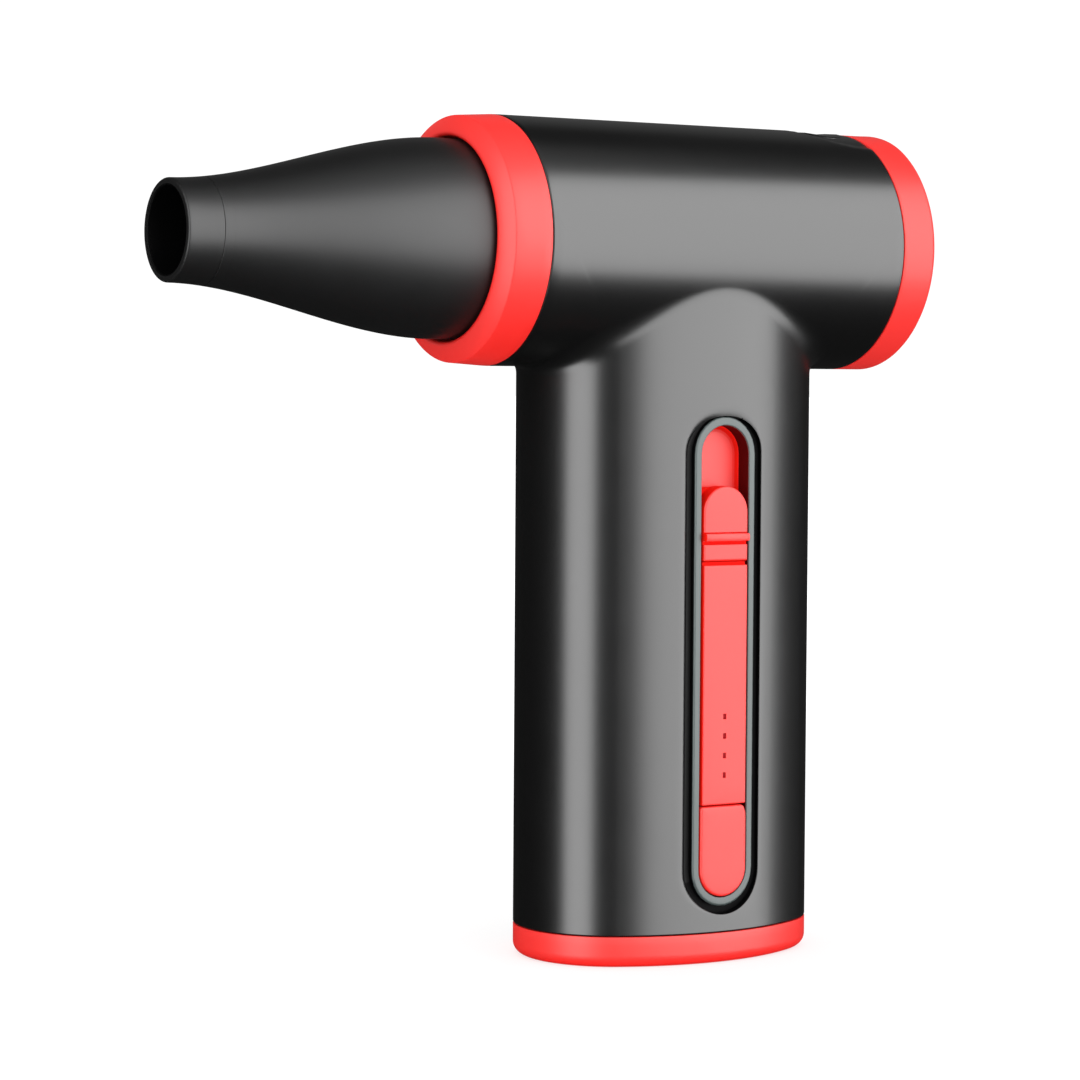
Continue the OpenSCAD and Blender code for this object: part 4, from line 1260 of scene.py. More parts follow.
@dataclass
class ControlStrip:
    """Rim, recess, fixed plate, speed slider and port flap on the handle's front."""

    half: float = 6.25
    low: float = 14.5
    high: float = 117.5
    rim: float = 1.65
    rim_step: float = 1.2
    rim_ends: float = 0.15
    outer_roll: float = 0.45
    inner_roll: float = 0.22
    rim_y: float = -24.2
    floor_y: float = -22.7
    skin_y: float = -24.6
    track_y: float = -20.3
    floor_dip: float = 0.45
    back_y: float = -18.9
    plate_half: float = 5.74
    flap_half: float = 6.0
    slider_half: float = 5.78
    plate_low: float = 34.9
    plate_high: float = 87.15
    flap_high: float = 34.6
    flap_corner: float = 0.9
    flap_slant: float = 2.6
    flap_crown: float = 0.12
    hinge: Pair = (-22.9, 32.9)
    slider_low: float = 88.0
    slider_high: float = 104.3
    slider_roll: float = 0.45
    rib_z: float = 93.2
    rib_depth: float = 0.8
    rib_height: float = 0.88
    rib_square: float = 0.45
    rib_count: int = 24
    light_low: float = 41.35
    light_pitch: float = 4.27
    lights: int = 4
    through: Pair = (-30.0, -15.0)
    count: int = 168

    def off_spine(self, middle: Vector) -> float:
        """Distance of a point from the middle line of the strip's round-ended outline."""
        near = max(self.low + self.half, min(self.high - self.half, middle.z))
        return math.hypot(middle.x, middle.z - near)

    def light_holes(self, half_x: float, half_z: float) -> list[Skin]:
        """Tools that cut a hole for each charge light."""
        return [block((-half_x, half_x), self.through, (z - half_z, z + half_z))
                for z in (self.light_low + self.light_pitch * i for i in range(self.lights))]

    def rim_piece(self) -> bpy.types.Object:
        """The smooth metal-look rim, stepped behind its lip to hold the tray's wall; its outer side
        wall wears painted shade.
        """
        outline = [(x, z, nx, nz * (1 + self.rim_ends)) for x, z, nx, nz in
                   stadium(self.half, self.low, self.high, self.count)]
        back, lip = self.floor_y - 0.05, self.rim_y + 0.4
        large, small = self.outer_roll, self.inner_roll
        profile = [(self.rim, back)]
        profile += arc((self.rim - large, self.rim_y + large), (large, large), 0, -90, 5)
        profile += arc((small, self.rim_y + small), (small, small), -90, -180, 4)
        profile += [(0.0, lip), (self.rim_step, lip), (self.rim_step, back)]
        piece = Skin.hoop(slot_rows(outline, profile)).piece("rim_frame", RIM, Body.FIXED,
                                                             ["strip_rim"])
        # The rim's outer side wall takes the channel's darker black: painted shade.
        repaint(piece.data, [CHANNEL_SHADE_BLACK], lambda face, middle: int(
            middle.y > lip and self.off_spine(middle) > self.half + self.rim - 0.1))
        return piece

    def tray_piece(self) -> bpy.types.Object:
        """The recess behind the slider, with its hollow floor; its wall and the floor's edge wear
        painted shade.
        """
        outline = stadium(self.half, self.low, self.high, self.count)
        top = self.rim_y + 0.42
        floor = self.track_y + self.floor_dip
        profile = [(1.1, self.back_y), (1.1, top), (0.0, top), (0.0, floor - 0.3)]
        profile += arc((-0.3, floor - 0.3), (0.3, 0.3), 0, 90, 4)[1:]
        profile += [(-0.9, floor), (-1.5, floor), (-2.6, floor)]
        skin = Skin.capped(slot_rows(outline, profile))
        slots = [block((-2.4, 2.4), self.through, (90.3, 103.9)),
                 block((-4.8, 4.8), self.through, (22.3, 26.1))]
        mesh = cut(skin.mesh("tray_shell"), slots + self.light_holes(0.6, 0.8))
        tray = place(mesh, "tray_shell", CORAL, Body.FIXED, ["strip_tray"])

        def painted_shade_band(face: bpy.types.MeshPolygon, middle: Vector) -> int:
            """Painted shade: 1, a dark red, on the recess wall; 2, a glossless red, on the floor's
            edge; 3, half gloss, a little further in; 0 elsewhere.
            """
            inset = self.half - self.off_spine(middle)
            if inset > -0.1 and top <= middle.y < floor - 0.25:
                return 1
            if abs(face.normal.y) > 0.3 and middle.y < floor + 0.1 and -0.1 < inset < 1.5:
                return 2 if inset < 0.9 else 3
            return 0

        # Painted shade on the recess wall and round the floor's edge.
        repaint(mesh, [CORAL_DEEP_SHADE, CORAL_SHADE, CORAL_HALF_SHADE], painted_shade_band)
        return tray

    def plate_piece(self) -> bpy.types.Object:
        """The fixed plate with its four charge lights; its side walls and the shelf in the gap
        under the slider take a glossless red as painted shade.
        """
        outline = self.panel(self.plate_half, self.plate_low, self.plate_high, 0.35, 0.35)
        skin = Skin.capped(slot_rows(outline, self.edge_profile(self.track_y - 0.1)))
        mesh = cut(skin.mesh("plate_shell"), self.light_holes(0.42, 0.62))
        # The shelf is laid in the gap under the slider and takes the glossless red below as painted
        # shade.
        gap_shade_shelf = block((-self.plate_half + 0.1, self.plate_half - 0.1),
                      (self.skin_y + 0.9, self.track_y - 0.1),
                      (self.plate_high - 0.6, self.slider_low - 0.15))
        plate = place(joined(mesh, [gap_shade_shelf]), "plate_shell", CORAL, Body.FIXED, ["strip_plate"])
        # Faces behind the plate's front take a glossless red: painted shade.
        repaint(mesh, [CORAL_SHADE], lambda face, middle: int(middle.y > self.skin_y + 0.16))
        return plate

    def edge_profile(self, back: float, roll: float = 0.3) -> list[Pair]:
        """Side wall and rolled front edge of a panel.

        Args:
            back: Y of the panel's back.
            roll: radius of its front edge.

        Returns:
            Pairs of offset and Y, back to front.
        """
        made = [(-0.15, back), (0.0, back - 0.15)]
        made += [(-roll + roll * math.cos(t), self.skin_y + roll - roll * math.sin(t))
                 for t in (math.pi / 10 * i for i in range(6))]
        return made

    @staticmethod
    def panel(half: float, low: float, high: float, top: float, bottom: float,
              inset: float = 0.0) -> list[Station]:
        """Upright panel outline with rounded corners, anticlockwise from the front.

        Args:
            half: half its width.
            low: its lowest point.
            high: its highest point.
            top: radius of the upper corners.
            bottom: radius of the lower corners.
            inset: how far the whole outline is drawn in.

        Returns:
            Its stations.
        """
        made: list[Station] = []
        corners = ((1, 1, top, 0), (-1, 1, top, 90), (-1, -1, bottom, 180), (1, -1, bottom, 270))
        for sx, sz, full, start in corners:
            r = max(full - inset, 0.02)
            cx = sx * (half - inset - r)
            cz = high - inset - r if sz > 0 else low + inset + r
            steps = max(6, round(full * 4))
            for i in range(steps + 1):
                t = math.radians(start + 90 * i / steps)
                made.append((cx + r * math.cos(t), cz + r * math.sin(t),
                             math.cos(t), math.sin(t)))
            if start in (90, 270):
                x, z = made[-1][:2]
                end = low + max(bottom, inset) if sx < 0 else high - max(top, inset)
                made += [(x, lerp(z, end, k / 12), float(sx), 0.0) for k in range(1, 12)]
        return made

    def slider_piece(self) -> bpy.types.Object:
        """The thumb slider: a domed cap on a low foot, with a raised rib across it."""
        outline = self.panel(self.slider_half, self.slider_low, self.slider_high,
                             self.slider_half, 0.4)
        roll = self.slider_roll
        profile = [(-0.15, self.track_y - 0.6), (0.0, self.track_y - 0.75)]
        profile += arc((-roll, self.skin_y + roll), (roll, roll), 0, -90, 6)
        cap = Skin.capped(slot_rows(outline, profile))
        front = self.track_y - 0.9
        left, right = -5.45, 1.4
        ends = (self.slider_low + 0.3, self.slider_high - 0.25)
        corners = ((right, 1, 1), (left, -1, 1), (left, -1, -1), (right, 1, -1))
        foot = Skin.capped([(x + off * sx, y, ends[sz > 0] + off * sz) for x, sx, sz in corners]
                           for off, y in ((-0.2, self.track_y + 0.3), (0.0, self.track_y + 0.2),
                                          (0.0, front + 0.15), (-0.15, front)))
        stems = [block((x - 0.6, x + 0.6), (self.track_y + 0.1, self.back_y + 0.6), (90.6, 93.6))
                 for x in (-1.7, 1.7)]
        rib = Skin.capped(self.rib_row(x, inset) for x, inset in (
            (-5.86, 0.25), (-5.78, 0.06), (-5.64, 0), (5.56, 0), (5.7, 0.06), (5.78, 0.25)))
        grooves = [block((-7, 7), (self.through[0], self.skin_y + deep), z)
                   for deep, z in ((0.7, (91.55, 92.3)), (0.4, (94.02, 94.3)))]
        mesh = joined(cut(cap.mesh("slider_shell"), grooves), [foot, rib, *stems])
        slider = place(mesh, "slider_shell", CORAL, Body.SLIDER, ["speed_slider"])
        # The slider's deeper faces, the rib's underside and its left end take a glossless red:
        # painted shade.
        repaint(mesh, [CORAL_SHADE], lambda face, middle: int(
            middle.y > self.skin_y + 0.3 or face.normal.z < -0.6 or middle.x < -5.7))
        return slider

    def rib_row(self, x: float, inset: float) -> list[Point]:
        """One section of the slider's rounded rib.

        Args:
            x: where the section lies.
            inset: how much smaller than the full section it is.

        Returns:
            Its points.
        """
        row = []
        for i in range(self.rib_count):
            t = math.radians(360 * i / self.rib_count)
            square = max(abs(math.cos(t)), abs(math.sin(t))) ** self.rib_square
            row.append((x, self.skin_y - 0.1 - (self.rib_depth - inset) * math.cos(t) / square,
                        self.rib_z + (self.rib_height - inset) * math.sin(t) / square))
        return row

    def flap_piece(self) -> bpy.types.Object:
        """The slightly crowned port flap that turns on the pin at its upper edge."""
        crown = [(-off, self.skin_y - self.flap_crown * (1 - (1 - off / 5) ** 2))
                 for off in (1.0, 1.8, 2.8, 3.8, 4.8)]
        rows: list[list[Point]] = []
        for off, y in [*self.edge_profile(self.skin_y + 1.8, 0.5), *crown]:
            row = []
            for x, z, _, _ in self.panel(self.flap_half, self.low + 0.25, self.flap_high, 0.6,
                                         self.flap_half, -off):
                over = (z - self.flap_high + self.flap_slant) / self.flap_slant
                if over > 0 and x > 0:
                    x -= self.flap_corner * over ** 2.5 * x / self.flap_half
                row.append((x, y, z))
            rows.append(row)
        shell = Skin.capped(rows).mesh("flap_shell")
        barrel = Skin.capped([(x, y, z) for y, z in circle(self.hinge, radius)] for x, radius in
                             ((-5.6, 1.4), (-5.4, 1.55), (4.6, 1.55), (4.8, 1.4)))
        plug = block((-4, 4), (self.skin_y + 1.5, self.skin_y + 3.0), (23.0, 25.4))
        return place(joined(shell, [barrel, plug]), "flap_shell", CORAL, Body.FLAP, ["port_flap"])

    def build(self) -> list[bpy.types.Object]:
        """Make the strip's pieces."""
        return [self.rim_piece(), self.tray_piece(), self.plate_piece(), self.slider_piece(),
                self.flap_piece()]


@dataclass
class PowerButton:
    """The oval push button on top of the barrel."""

    axis: Axis = field(default_factory=Axis)
    x: float = 39.5
    half_x: float = 5.0
    half_y: float = 9.0
    radius: float = 26.8
    floor: float = 180.8
    count: int = 96

    def build(self) -> bpy.types.Object:
        """Make the button with its rolled edge and slightly hollow top."""
        reach = self.half_y - self.half_x
        rows: list[list[Point]] = []
        for off, sink in ((0.0, None), (0.0, 0.45), (-0.07, 0.2), (-0.25, 0.05), (-0.5, 0.0),
                          (-1.4, 0.06), (-2.6, 0.16), (-3.8, 0.24), (-4.6, 0.27)):
            row = []
            for i in range(self.count):
                t = math.tau * i / self.count
                way = (math.cos(t), math.sin(t))
                side = reach * (1 if way[1] > 0 else -1) if abs(way[1]) > 1e-9 else 0
                x = self.x + way[0] * (self.half_x + off)
                y = side + way[1] * (self.half_x + off)
                top = self.axis.height + math.sqrt(self.radius ** 2 - y * y)
                row.append((x, y, self.floor if sink is None else top - sink))
            rows.append(row)
        return Skin.capped(rows).piece("button_cap", BLACK, Body.BUTTON, ["power_button"])


# ---------------------------------------------------------------- repeated pieces

class NodePlan:
    """One Geometry Nodes tree: its named inputs, its nodes and the mesh that it gives."""

    KINDS = {int: "NodeSocketInt", float: "NodeSocketFloat",
             bpy.types.Material: "NodeSocketMaterial", bpy.types.Object: "NodeSocketObject"}

    def __init__(self, name: str, finish: Finish, **inputs: int | float | Skin) -> None:
        """Start a tree.

        Args:
            name: the tree's name.
            finish: the finish that the tree sets at its end.
            inputs: the tree's named inputs, with their values; lengths are in metres.
        """
        self.name = name
        self.helpers: list[bpy.types.Object] = []
        self.values: dict[str, object] = {"Finish": material_of(finish)}
        for key, value in inputs.items():
            if isinstance(value, Skin):
                value = bpy.data.objects.new(key, value.mesh(key))
                self.helpers.append(value)
            self.values[key.replace("_", " ").title()] = value
        self.tree = bpy.data.node_groups.new(name, "GeometryNodeTree")
        for label, value in self.values.items():
            self.tree.interface.new_socket(name=label, in_out="INPUT",
                                           socket_type=self.KINDS[type(value)])
        self.tree.interface.new_socket(name="Geometry", in_out="OUTPUT",
                                       socket_type="NodeSocketGeometry")
        self.given = self.tree.nodes.new("NodeGroupInput").outputs
        self.result = self.tree.nodes.new("NodeGroupOutput").inputs

    def node(self, kind: str, settings: dict[str, str] | None = None,
             **inputs: object) -> bpy.types.NodeSocket:
        """Add a node.

        Args:
            kind: the node's type, without its family.
            settings: the node's own properties.
            inputs: sockets or values for its inputs, by name.

        Returns:
            Its first output.
        """
        node = self.tree.nodes.new(kind)
        for key, value in (settings or {}).items():
            setattr(node, key, value)
        for key, value in inputs.items():
            self.plug(value, node.inputs[key.replace("_", " ")])
        return next(output for output in node.outputs if output.enabled)

    def plug(self, value: object, target: bpy.types.NodeSocket) -> None:
        """Link a socket to an input, or set the input's value."""
        if isinstance(value, bpy.types.NodeSocket):
            self.tree.links.new(value, target)
        else:
            target.default_value = value

    def math(self, operation: str, first: object, second: object = 0.0) -> bpy.types.NodeSocket:
        """A sum, product, root or other operation on one or two numbers."""
        node = self.tree.nodes.new("ShaderNodeMath")
        node.operation = operation
        self.plug(first, node.inputs[0])
        self.plug(second, node.inputs[1])
        return node.outputs[0]

    def vector(self, **parts: object) -> bpy.types.NodeSocket:
        """A vector from its X, Y and Z."""
        return self.node("ShaderNodeCombineXYZ", **parts)

    def copies(self, points: object, piece: object, **how: object) -> bpy.types.NodeSocket:
        """Instances of a piece on points."""
        return self.node("GeometryNodeInstanceOnPoints", Points=points, Instance=piece, **how)

    def piece(self, label: str) -> bpy.types.NodeSocket:
        """The geometry of an object that is handed in as a named input."""
        node = self.tree.nodes.new("GeometryNodeObjectInfo")
        self.plug(self.given[label], node.inputs["Object"])
        return node.outputs["Geometry"]

    def mesh(self, geometry: bpy.types.NodeSocket) -> bpy.types.Mesh:
        """End the tree, run it on an empty mesh and take the result as a plain mesh.

        Args:
            geometry: what the tree has made.

        Returns:
            The mesh.
        """
        plain = self.node("GeometryNodeRealizeInstances", Geometry=geometry)
        dressed = self.node("GeometryNodeSetMaterial", Geometry=plain,
                            Material=self.given["Finish"])
        self.plug(dressed, self.result["Geometry"])
        carrier = linked(self.name, bpy.data.meshes.new(self.name))
        step = carrier.modifiers.new(self.name, "NODES")
        step.node_group = self.tree
        for item in self.tree.interface.items_tree:
            if item.in_out == "INPUT":
                step[item.identifier] = self.values[item.name]
        made = evaluated(carrier)
        carrier.modifiers.remove(step)
        for used in (carrier, *self.helpers):
            bpy.data.objects.remove(used)
        log.info("%s: %d faces from its tree", self.name, len(made.polygons))
        return made


def turned_copies(name: str, copy: Skin, count: int, axis: Axis,
                  finish: Finish) -> bpy.types.Mesh:
    """Copies of a piece turned about the barrel axis in equal steps.

    Args:
        name: the tree's name.
        copy: the piece, drawn about an axis at height 0.
        count: how many copies.
        axis: the barrel axis.
        finish: their finish.

    Returns:
        The mesh.
    """
    plan = NodePlan(name, finish, copy=copy, count=count, axis_height=axis.height * MM)
    spots = plan.node("GeometryNodePoints", Count=plan.given["Count"],
                      Position=plan.vector(Z=plan.given["Axis Height"]))
    step = plan.math("DIVIDE", math.tau, plan.given["Count"])
    turn = plan.math("MULTIPLY", plan.node("GeometryNodeInputIndex"), step)
    return plan.mesh(plan.copies(spots, plan.piece("Copy"), Rotation=plan.vector(X=turn)))


@dataclass
class FanWheel:
    """The fan's hub with its ring of bent blades."""

    axis: Axis = field(default_factory=Axis)
    front: float = 21.0
    rear: float = 34.0
    hub: float = 9.2
    tip: float = 21.25
    bend: float = 15.5
    thick: float = 1.1
    shaft: float = 1.51
    pocket: float = 8.0
    pocket_depth: float = 7.0
    sleeve: float = 4.0
    blades: int = 11

    def blade(self) -> Skin:
        """One blade: a bent aerofoil that stands on the hub."""
        def line(share: float) -> tuple[Vector, Vector]:
            """Point and normal of the blade's middle line."""
            run = lerp(0.15, self.rear - self.front - 0.15, share)
            out = Vector((run, math.sqrt(self.bend ** 2 - run * run))).normalized()
            return Vector((self.front, -self.bend)) + out * self.bend, out

        upper, lower = [], []
        for i in range(17):
            share = (1 - math.cos(math.pi * i / 16)) / 2
            spot, out = line(share)
            half = self.thick / 2 * min(1.0, 2.6 * math.sqrt(share * (1 - share)) + 0.12)
            upper.append(spot + out * half)
            lower.append(spot - out * half)
        section = upper + lower[::-1]
        return Skin.capped([(p.x, p.y, math.sqrt(r * r - p.y * p.y)) for p in section]
                           for r in (self.hub - 0.5, 12.0, 15.0, 18.0, 20.3, self.tip))

    def build(self) -> bpy.types.Object:
        """Make the wheel."""
        mesh = turned_copies("fan_blades", self.blade(), self.blades, self.axis, ALLOY)
        inner = self.front + self.pocket_depth
        hub = self.axis.turned([
            (self.front, self.pocket), (self.front, 8.9), (self.front + 0.3, self.hub),
            (self.rear - 1, self.hub), (self.rear - 0.3, self.hub - 0.5),
            (self.rear, self.hub - 1.2), (self.rear, self.shaft), (self.front, self.shaft),
            (self.front, self.sleeve), (inner, self.sleeve), (inner, self.pocket)], 96)
        return place(joined(mesh, [hub]), "fan_wheel", ALLOY, Body.ROTOR, ["impeller"])


@dataclass
class Grille:
    """The air intake's grille: rings held by spokes, with a fine woven filter before it."""

    axis: Axis = field(default_factory=Axis)
    x: float = 53.9
    depth: float = 2.2
    outer: float = 21.4
    bar: float = 1.3
    step: float = 4.8
    rings: int = 4
    spokes: int = 12
    spoke: float = 1.1
    boss: float = 2.6
    weave_x: float = 50.6
    weave_reach: float = 20.15
    weave_pitch: float = 3.0
    wires: int = 13
    wire: float = 0.17
    wave: float = 0.16
    wire_steps: int = 112

    def ring_mesh(self) -> bpy.types.Mesh:
        """The rings: circles that follow a step, drawn out into rounded bars."""
        plan = NodePlan("grille_rings", DARK, rings=self.rings, step=self.step * MM,
                        middle_radius=(self.outer - self.bar / 2) * MM, bar=self.bar * MM,
                        depth=self.depth * MM, rounding=0.3 * MM, place_x=self.x * MM,
                        axis_height=self.axis.height * MM)
        spots = plan.node("GeometryNodePoints", Count=plan.given["Rings"], Position=plan.vector(
            X=plan.given["Place X"], Z=plan.given["Axis Height"]))
        shrink = plan.math("MULTIPLY", plan.node("GeometryNodeInputIndex"), plan.given["Step"])
        size = plan.math("SUBTRACT", plan.given["Middle Radius"], shrink)
        circle = plan.node("GeometryNodeCurvePrimitiveCircle", Resolution=96, Radius=1.0)
        loops = plan.node("GeometryNodeRealizeInstances", Geometry=plan.copies(
            spots, circle, Rotation=(0.0, math.pi / 2, 0.0),
            Scale=plan.vector(X=size, Y=size, Z=size)))
        loops = plan.node("GeometryNodeSetCurveRadius", Curve=loops, Radius=1.0)
        box = plan.node("GeometryNodeCurvePrimitiveQuadrilateral",
                        Width=plan.given["Bar"], Height=plan.given["Depth"])
        section = plan.node("GeometryNodeFilletCurve", {"mode": "POLY"}, Curve=box, Count=3,
                            Radius=plan.given["Rounding"])
        return plan.mesh(plan.node("GeometryNodeCurveToMesh", Curve=loops,
                                   Profile_Curve=section))

    def spoke_skin(self) -> Skin:
        """One spoke with rounded long edges."""
        half, deep = self.spoke / 2, self.depth / 2 - 0.06
        section = [(deep - 0.25, half), (deep - 0.07, half - 0.07), (deep, half - 0.25)]
        section += [(x, -y) for x, y in reversed(section)]
        section += [(-x, y) for x, y in reversed(section)]
        return Skin.capped([(self.x + x, y, z) for x, y in section]
                           for z in (1.8, self.outer - self.bar / 2))

    def build(self) -> list[bpy.types.Object]:
        """Make the grille and the filter."""
        work = bmesh.new()
        work.from_mesh(self.ring_mesh())
        work.from_mesh(turned_copies("grille_spokes", self.spoke_skin(), self.spokes, self.axis,
                                     DARK))
        mark_sharp(work, 40)
        mesh = bpy.data.meshes.new("grille")
        work.to_mesh(mesh)
        work.free()
        x0, x1 = self.x - self.depth / 2 - 0.02, self.x + self.depth / 2 + 0.02
        boss = self.axis.turned([(x0, 0.02), (x0, self.boss - 0.3), (x0 + 0.3, self.boss),
                                 (x1 - 0.3, self.boss), (x1, self.boss - 0.3), (x1, 0.02)], 48)
        return [place(joined(mesh, [boss]), "grille", DARK, Body.FIXED, ["intake_grille"]),
                place(self.weave_mesh(), "woven_filter", MESH_WIRE, Body.FIXED, ["filter_mesh"])]

    def weave_mesh(self) -> bpy.types.Mesh:
        """The filter: two sets of waved wires that pass over and under each other."""
        plan = NodePlan("woven_filter", MESH_WIRE, wires=self.wires,
                        pitch=self.weave_pitch * MM, reach=self.weave_reach * MM,
                        wire_radius=self.wire * MM, wave=self.wave * MM,
                        place_x=self.weave_x * MM, axis_height=self.axis.height * MM)
        middle = plan.math("DIVIDE", plan.math("SUBTRACT", plan.given["Wires"], 1.0), 2.0)
        rank = plan.math("SUBTRACT", plan.node("GeometryNodeInputIndex"), middle)
        height = plan.math("MULTIPLY", rank, plan.given["Pitch"])
        spots = plan.node("GeometryNodePoints", Count=plan.given["Wires"],
                          Position=plan.vector(Z=height))
        chord = plan.math("SQRT", plan.math(
            "SUBTRACT", plan.math("POWER", plan.given["Reach"], 2.0),
            plan.math("POWER", height, 2.0)))
        line = plan.node("GeometryNodeResampleCurve", Count=self.wire_steps, Curve=plan.node(
            "GeometryNodeCurvePrimitiveLine", Start=(0.0, -1.0, 0.0), End=(0.0, 1.0, 0.0)))
        straight = plan.node("GeometryNodeRealizeInstances", Geometry=plan.copies(
            spots, line, Scale=plan.vector(X=1.0, Y=chord, Z=1.0)))
        parts = plan.tree.nodes.new("ShaderNodeSeparateXYZ")
        plan.plug(plan.node("GeometryNodeInputPosition"), parts.inputs[0])
        phase = plan.math("DIVIDE", math.pi, plan.given["Pitch"])
        lift = plan.math("MULTIPLY", plan.math("COSINE", plan.math("MULTIPLY", parts.outputs["Y"],
                                                                   phase)),
                         plan.math("COSINE", plan.math("MULTIPLY", parts.outputs["Z"], phase)))
        section = plan.node("GeometryNodeCurvePrimitiveCircle", Resolution=6,
                            Radius=plan.given["Wire Radius"])
        cloth = plan.tree.nodes.new("GeometryNodeJoinGeometry")
        for side, turn in ((1.0, 0.0), (-1.0, math.pi / 2)):
            off = plan.math("MULTIPLY", lift, plan.math("MULTIPLY", plan.given["Wave"], side))
            waved = plan.node("GeometryNodeSetPosition", Geometry=straight,
                              Offset=plan.vector(X=off))
            waved = plan.node("GeometryNodeSetCurveRadius", Curve=waved, Radius=1.0)
            wires = plan.node("GeometryNodeCurveToMesh", Curve=waved, Profile_Curve=section,
                              Fill_Caps=True)
            plan.plug(plan.node("GeometryNodeTransform", Geometry=wires,
                                Rotation=(turn, 0.0, 0.0)), cloth.inputs[0])
        return plan.mesh(plan.node("GeometryNodeTransform", Geometry=cloth.outputs[0],
                                   Translation=plan.vector(X=plan.given["Place X"],
                                                           Z=plan.given["Axis Height"])))


@dataclass
class BaseScrews:
    """The four screws that hold the base cap, set out on a grid."""

    spacing_x: float = 48.0
    spacing_y: float = 24.0
    head: float = 2.1
    head_roll: float = 0.45
    face: float = 1.9
    seat: float = 3.5
    shaft: float = 0.9
    end: float = 11.7
    drive: float = 0.9
    seed: int = 7

    def screw(self) -> Skin:
        """One screw, head down: rounded head, six-sided drive and a tapered end."""
        count = 36

        def level(radius: float, z: float, hexagon: bool = False) -> list[Point]:
            """One ring, round or six-sided."""
            made = []
            for i in range(count):
                t = math.tau * i / count
                r = radius
                if hexagon:
                    r *= math.cos(math.pi / 6) / math.cos(t % (math.pi / 3) - math.pi / 6)
                made.append((r * math.cos(t), r * math.sin(t), z))
            return made

        roll = self.head_roll
        head = arc((self.head - roll, self.face + roll), (roll, roll), -90, 0, 6)
        return Skin.capped([
            level(self.drive * 0.9, self.face + 0.85, True),
            level(self.drive, self.face + 0.8, True), level(self.drive, self.face + 0.05, True),
            level(self.drive + 0.06, self.face), *(level(r, z) for r, z in head),
            level(self.head, self.seat - 0.1), level(self.head - 0.1, self.seat),
            level(self.shaft, self.seat), level(self.shaft, self.end - 1.0),
            level(0.3, self.end)])

    def build(self) -> bpy.types.Object:
        """Make the screws, each left at a turn of its own."""
        plan = NodePlan("base_screw_grid", STEEL, screw=self.screw(),
                        spacing_x=self.spacing_x * MM, spacing_y=self.spacing_y * MM,
                        seed=self.seed)
        grid = plan.node("GeometryNodeMeshGrid", Size_X=plan.given["Spacing X"],
                         Size_Y=plan.given["Spacing Y"], Vertices_X=2, Vertices_Y=2)
        turn = plan.tree.nodes.new("FunctionNodeRandomValue")
        turn.data_type = "FLOAT"
        for socket in turn.inputs:
            if socket.enabled and socket.name == "Max":
                socket.default_value = math.tau
        plan.plug(plan.given["Seed"], turn.inputs["Seed"])
        angle = next(output for output in turn.outputs if output.enabled)
        mesh = plan.mesh(plan.copies(grid, plan.piece("Screw"), Rotation=plan.vector(Z=angle)))
        return place(mesh, "base_screw_set", STEEL, Body.FIXED, ["base_screws"])


@dataclass
class LightPins:
    """The four light guides behind the plate, set out on an upright line."""

    half_x: float = 0.38
    half_z: float = 0.58
    front: float = -24.54
    rear: float = -15.55
    low: float = 41.35
    pitch: float = 4.27
    count: int = 4

    def build(self) -> bpy.types.Object:
        """Make the pins, each with eased front edges."""
        pin = Skin.capped([(sx * (self.half_x - inset), y, sz * (self.half_z - inset))
                           for sx, sz in ((1, 1), (-1, 1), (-1, -1), (1, -1))]
                          for inset, y in ((0.12, self.front), (0.03, self.front + 0.04),
                                           (0.0, self.front + 0.14), (0.0, self.rear)))
        plan = NodePlan("light_pin_line", SMOKED_PIN, pin=pin, count=self.count,
                        pitch=self.pitch * MM, lowest=self.low * MM)
        line = plan.node("GeometryNodeMeshLine", Count=plan.given["Count"],
                         Start_Location=plan.vector(Z=plan.given["Lowest"]),
                         Offset=plan.vector(Z=plan.given["Pitch"]))
        mesh = plan.mesh(plan.copies(line, plan.piece("Pin")))
        return place(mesh, "light_pins", SMOKED_PIN, Body.FIXED, ["light_guides"])


@dataclass
class ButtonSpring:
    """The low coil spring under the power button."""

    x: float = 37.5
    low: float = 179.55
    high: float = 180.78
    radius: float = 2.76
    wire: float = 0.13
    turns: float = 2.0
    stroke: float = 0.5

    def build(self) -> bpy.types.Object:
        """Wind the spring along its helix."""
        plan = NodePlan("button_spring_coil", STEEL, turns=self.turns,
                        radius=self.radius * MM, wire_radius=self.wire * MM,
                        rise=(self.high - self.low - 2 * self.wire) * MM,
                        place_x=self.x * MM, seat=(self.low + self.wire) * MM)
        helix = plan.node("GeometryNodeCurveSpiral", Resolution=40,
                          Rotations=plan.given["Turns"], Start_Radius=plan.given["Radius"],
                          End_Radius=plan.given["Radius"], Height=plan.given["Rise"])
        section = plan.node("GeometryNodeCurvePrimitiveCircle", Resolution=8,
                            Radius=plan.given["Wire Radius"])
        coil = plan.node("GeometryNodeCurveToMesh", Curve=helix, Profile_Curve=section,
                         Fill_Caps=True)
        moved = plan.node("GeometryNodeTransform", Geometry=coil, Translation=plan.vector(
            X=plan.given["Place X"], Z=plan.given["Seat"]))
        piece = place(plan.mesh(moved), "button_coil_spring", STEEL, Body.FIXED,
                      ["button_spring"])
        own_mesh(piece)
        return piece


# ---------------------------------------------------------------- carried-over pieces

@dataclass(frozen=True)
class Carried:
    """Finishes for the frame's own pieces that keep their solid."""

    finishes: dict[str, Finish]

    def dress(self) -> None:
        """Give each shown piece of the frame its finish."""
        for name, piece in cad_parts.items():
            if piece.hide_render:
                continue
            finish = self.finishes.get(name, DARK)
            piece.data.materials.clear()
            piece.data.materials.append(material_of(finish))
            log.info("%s: carried over, %s", name, finish.name)


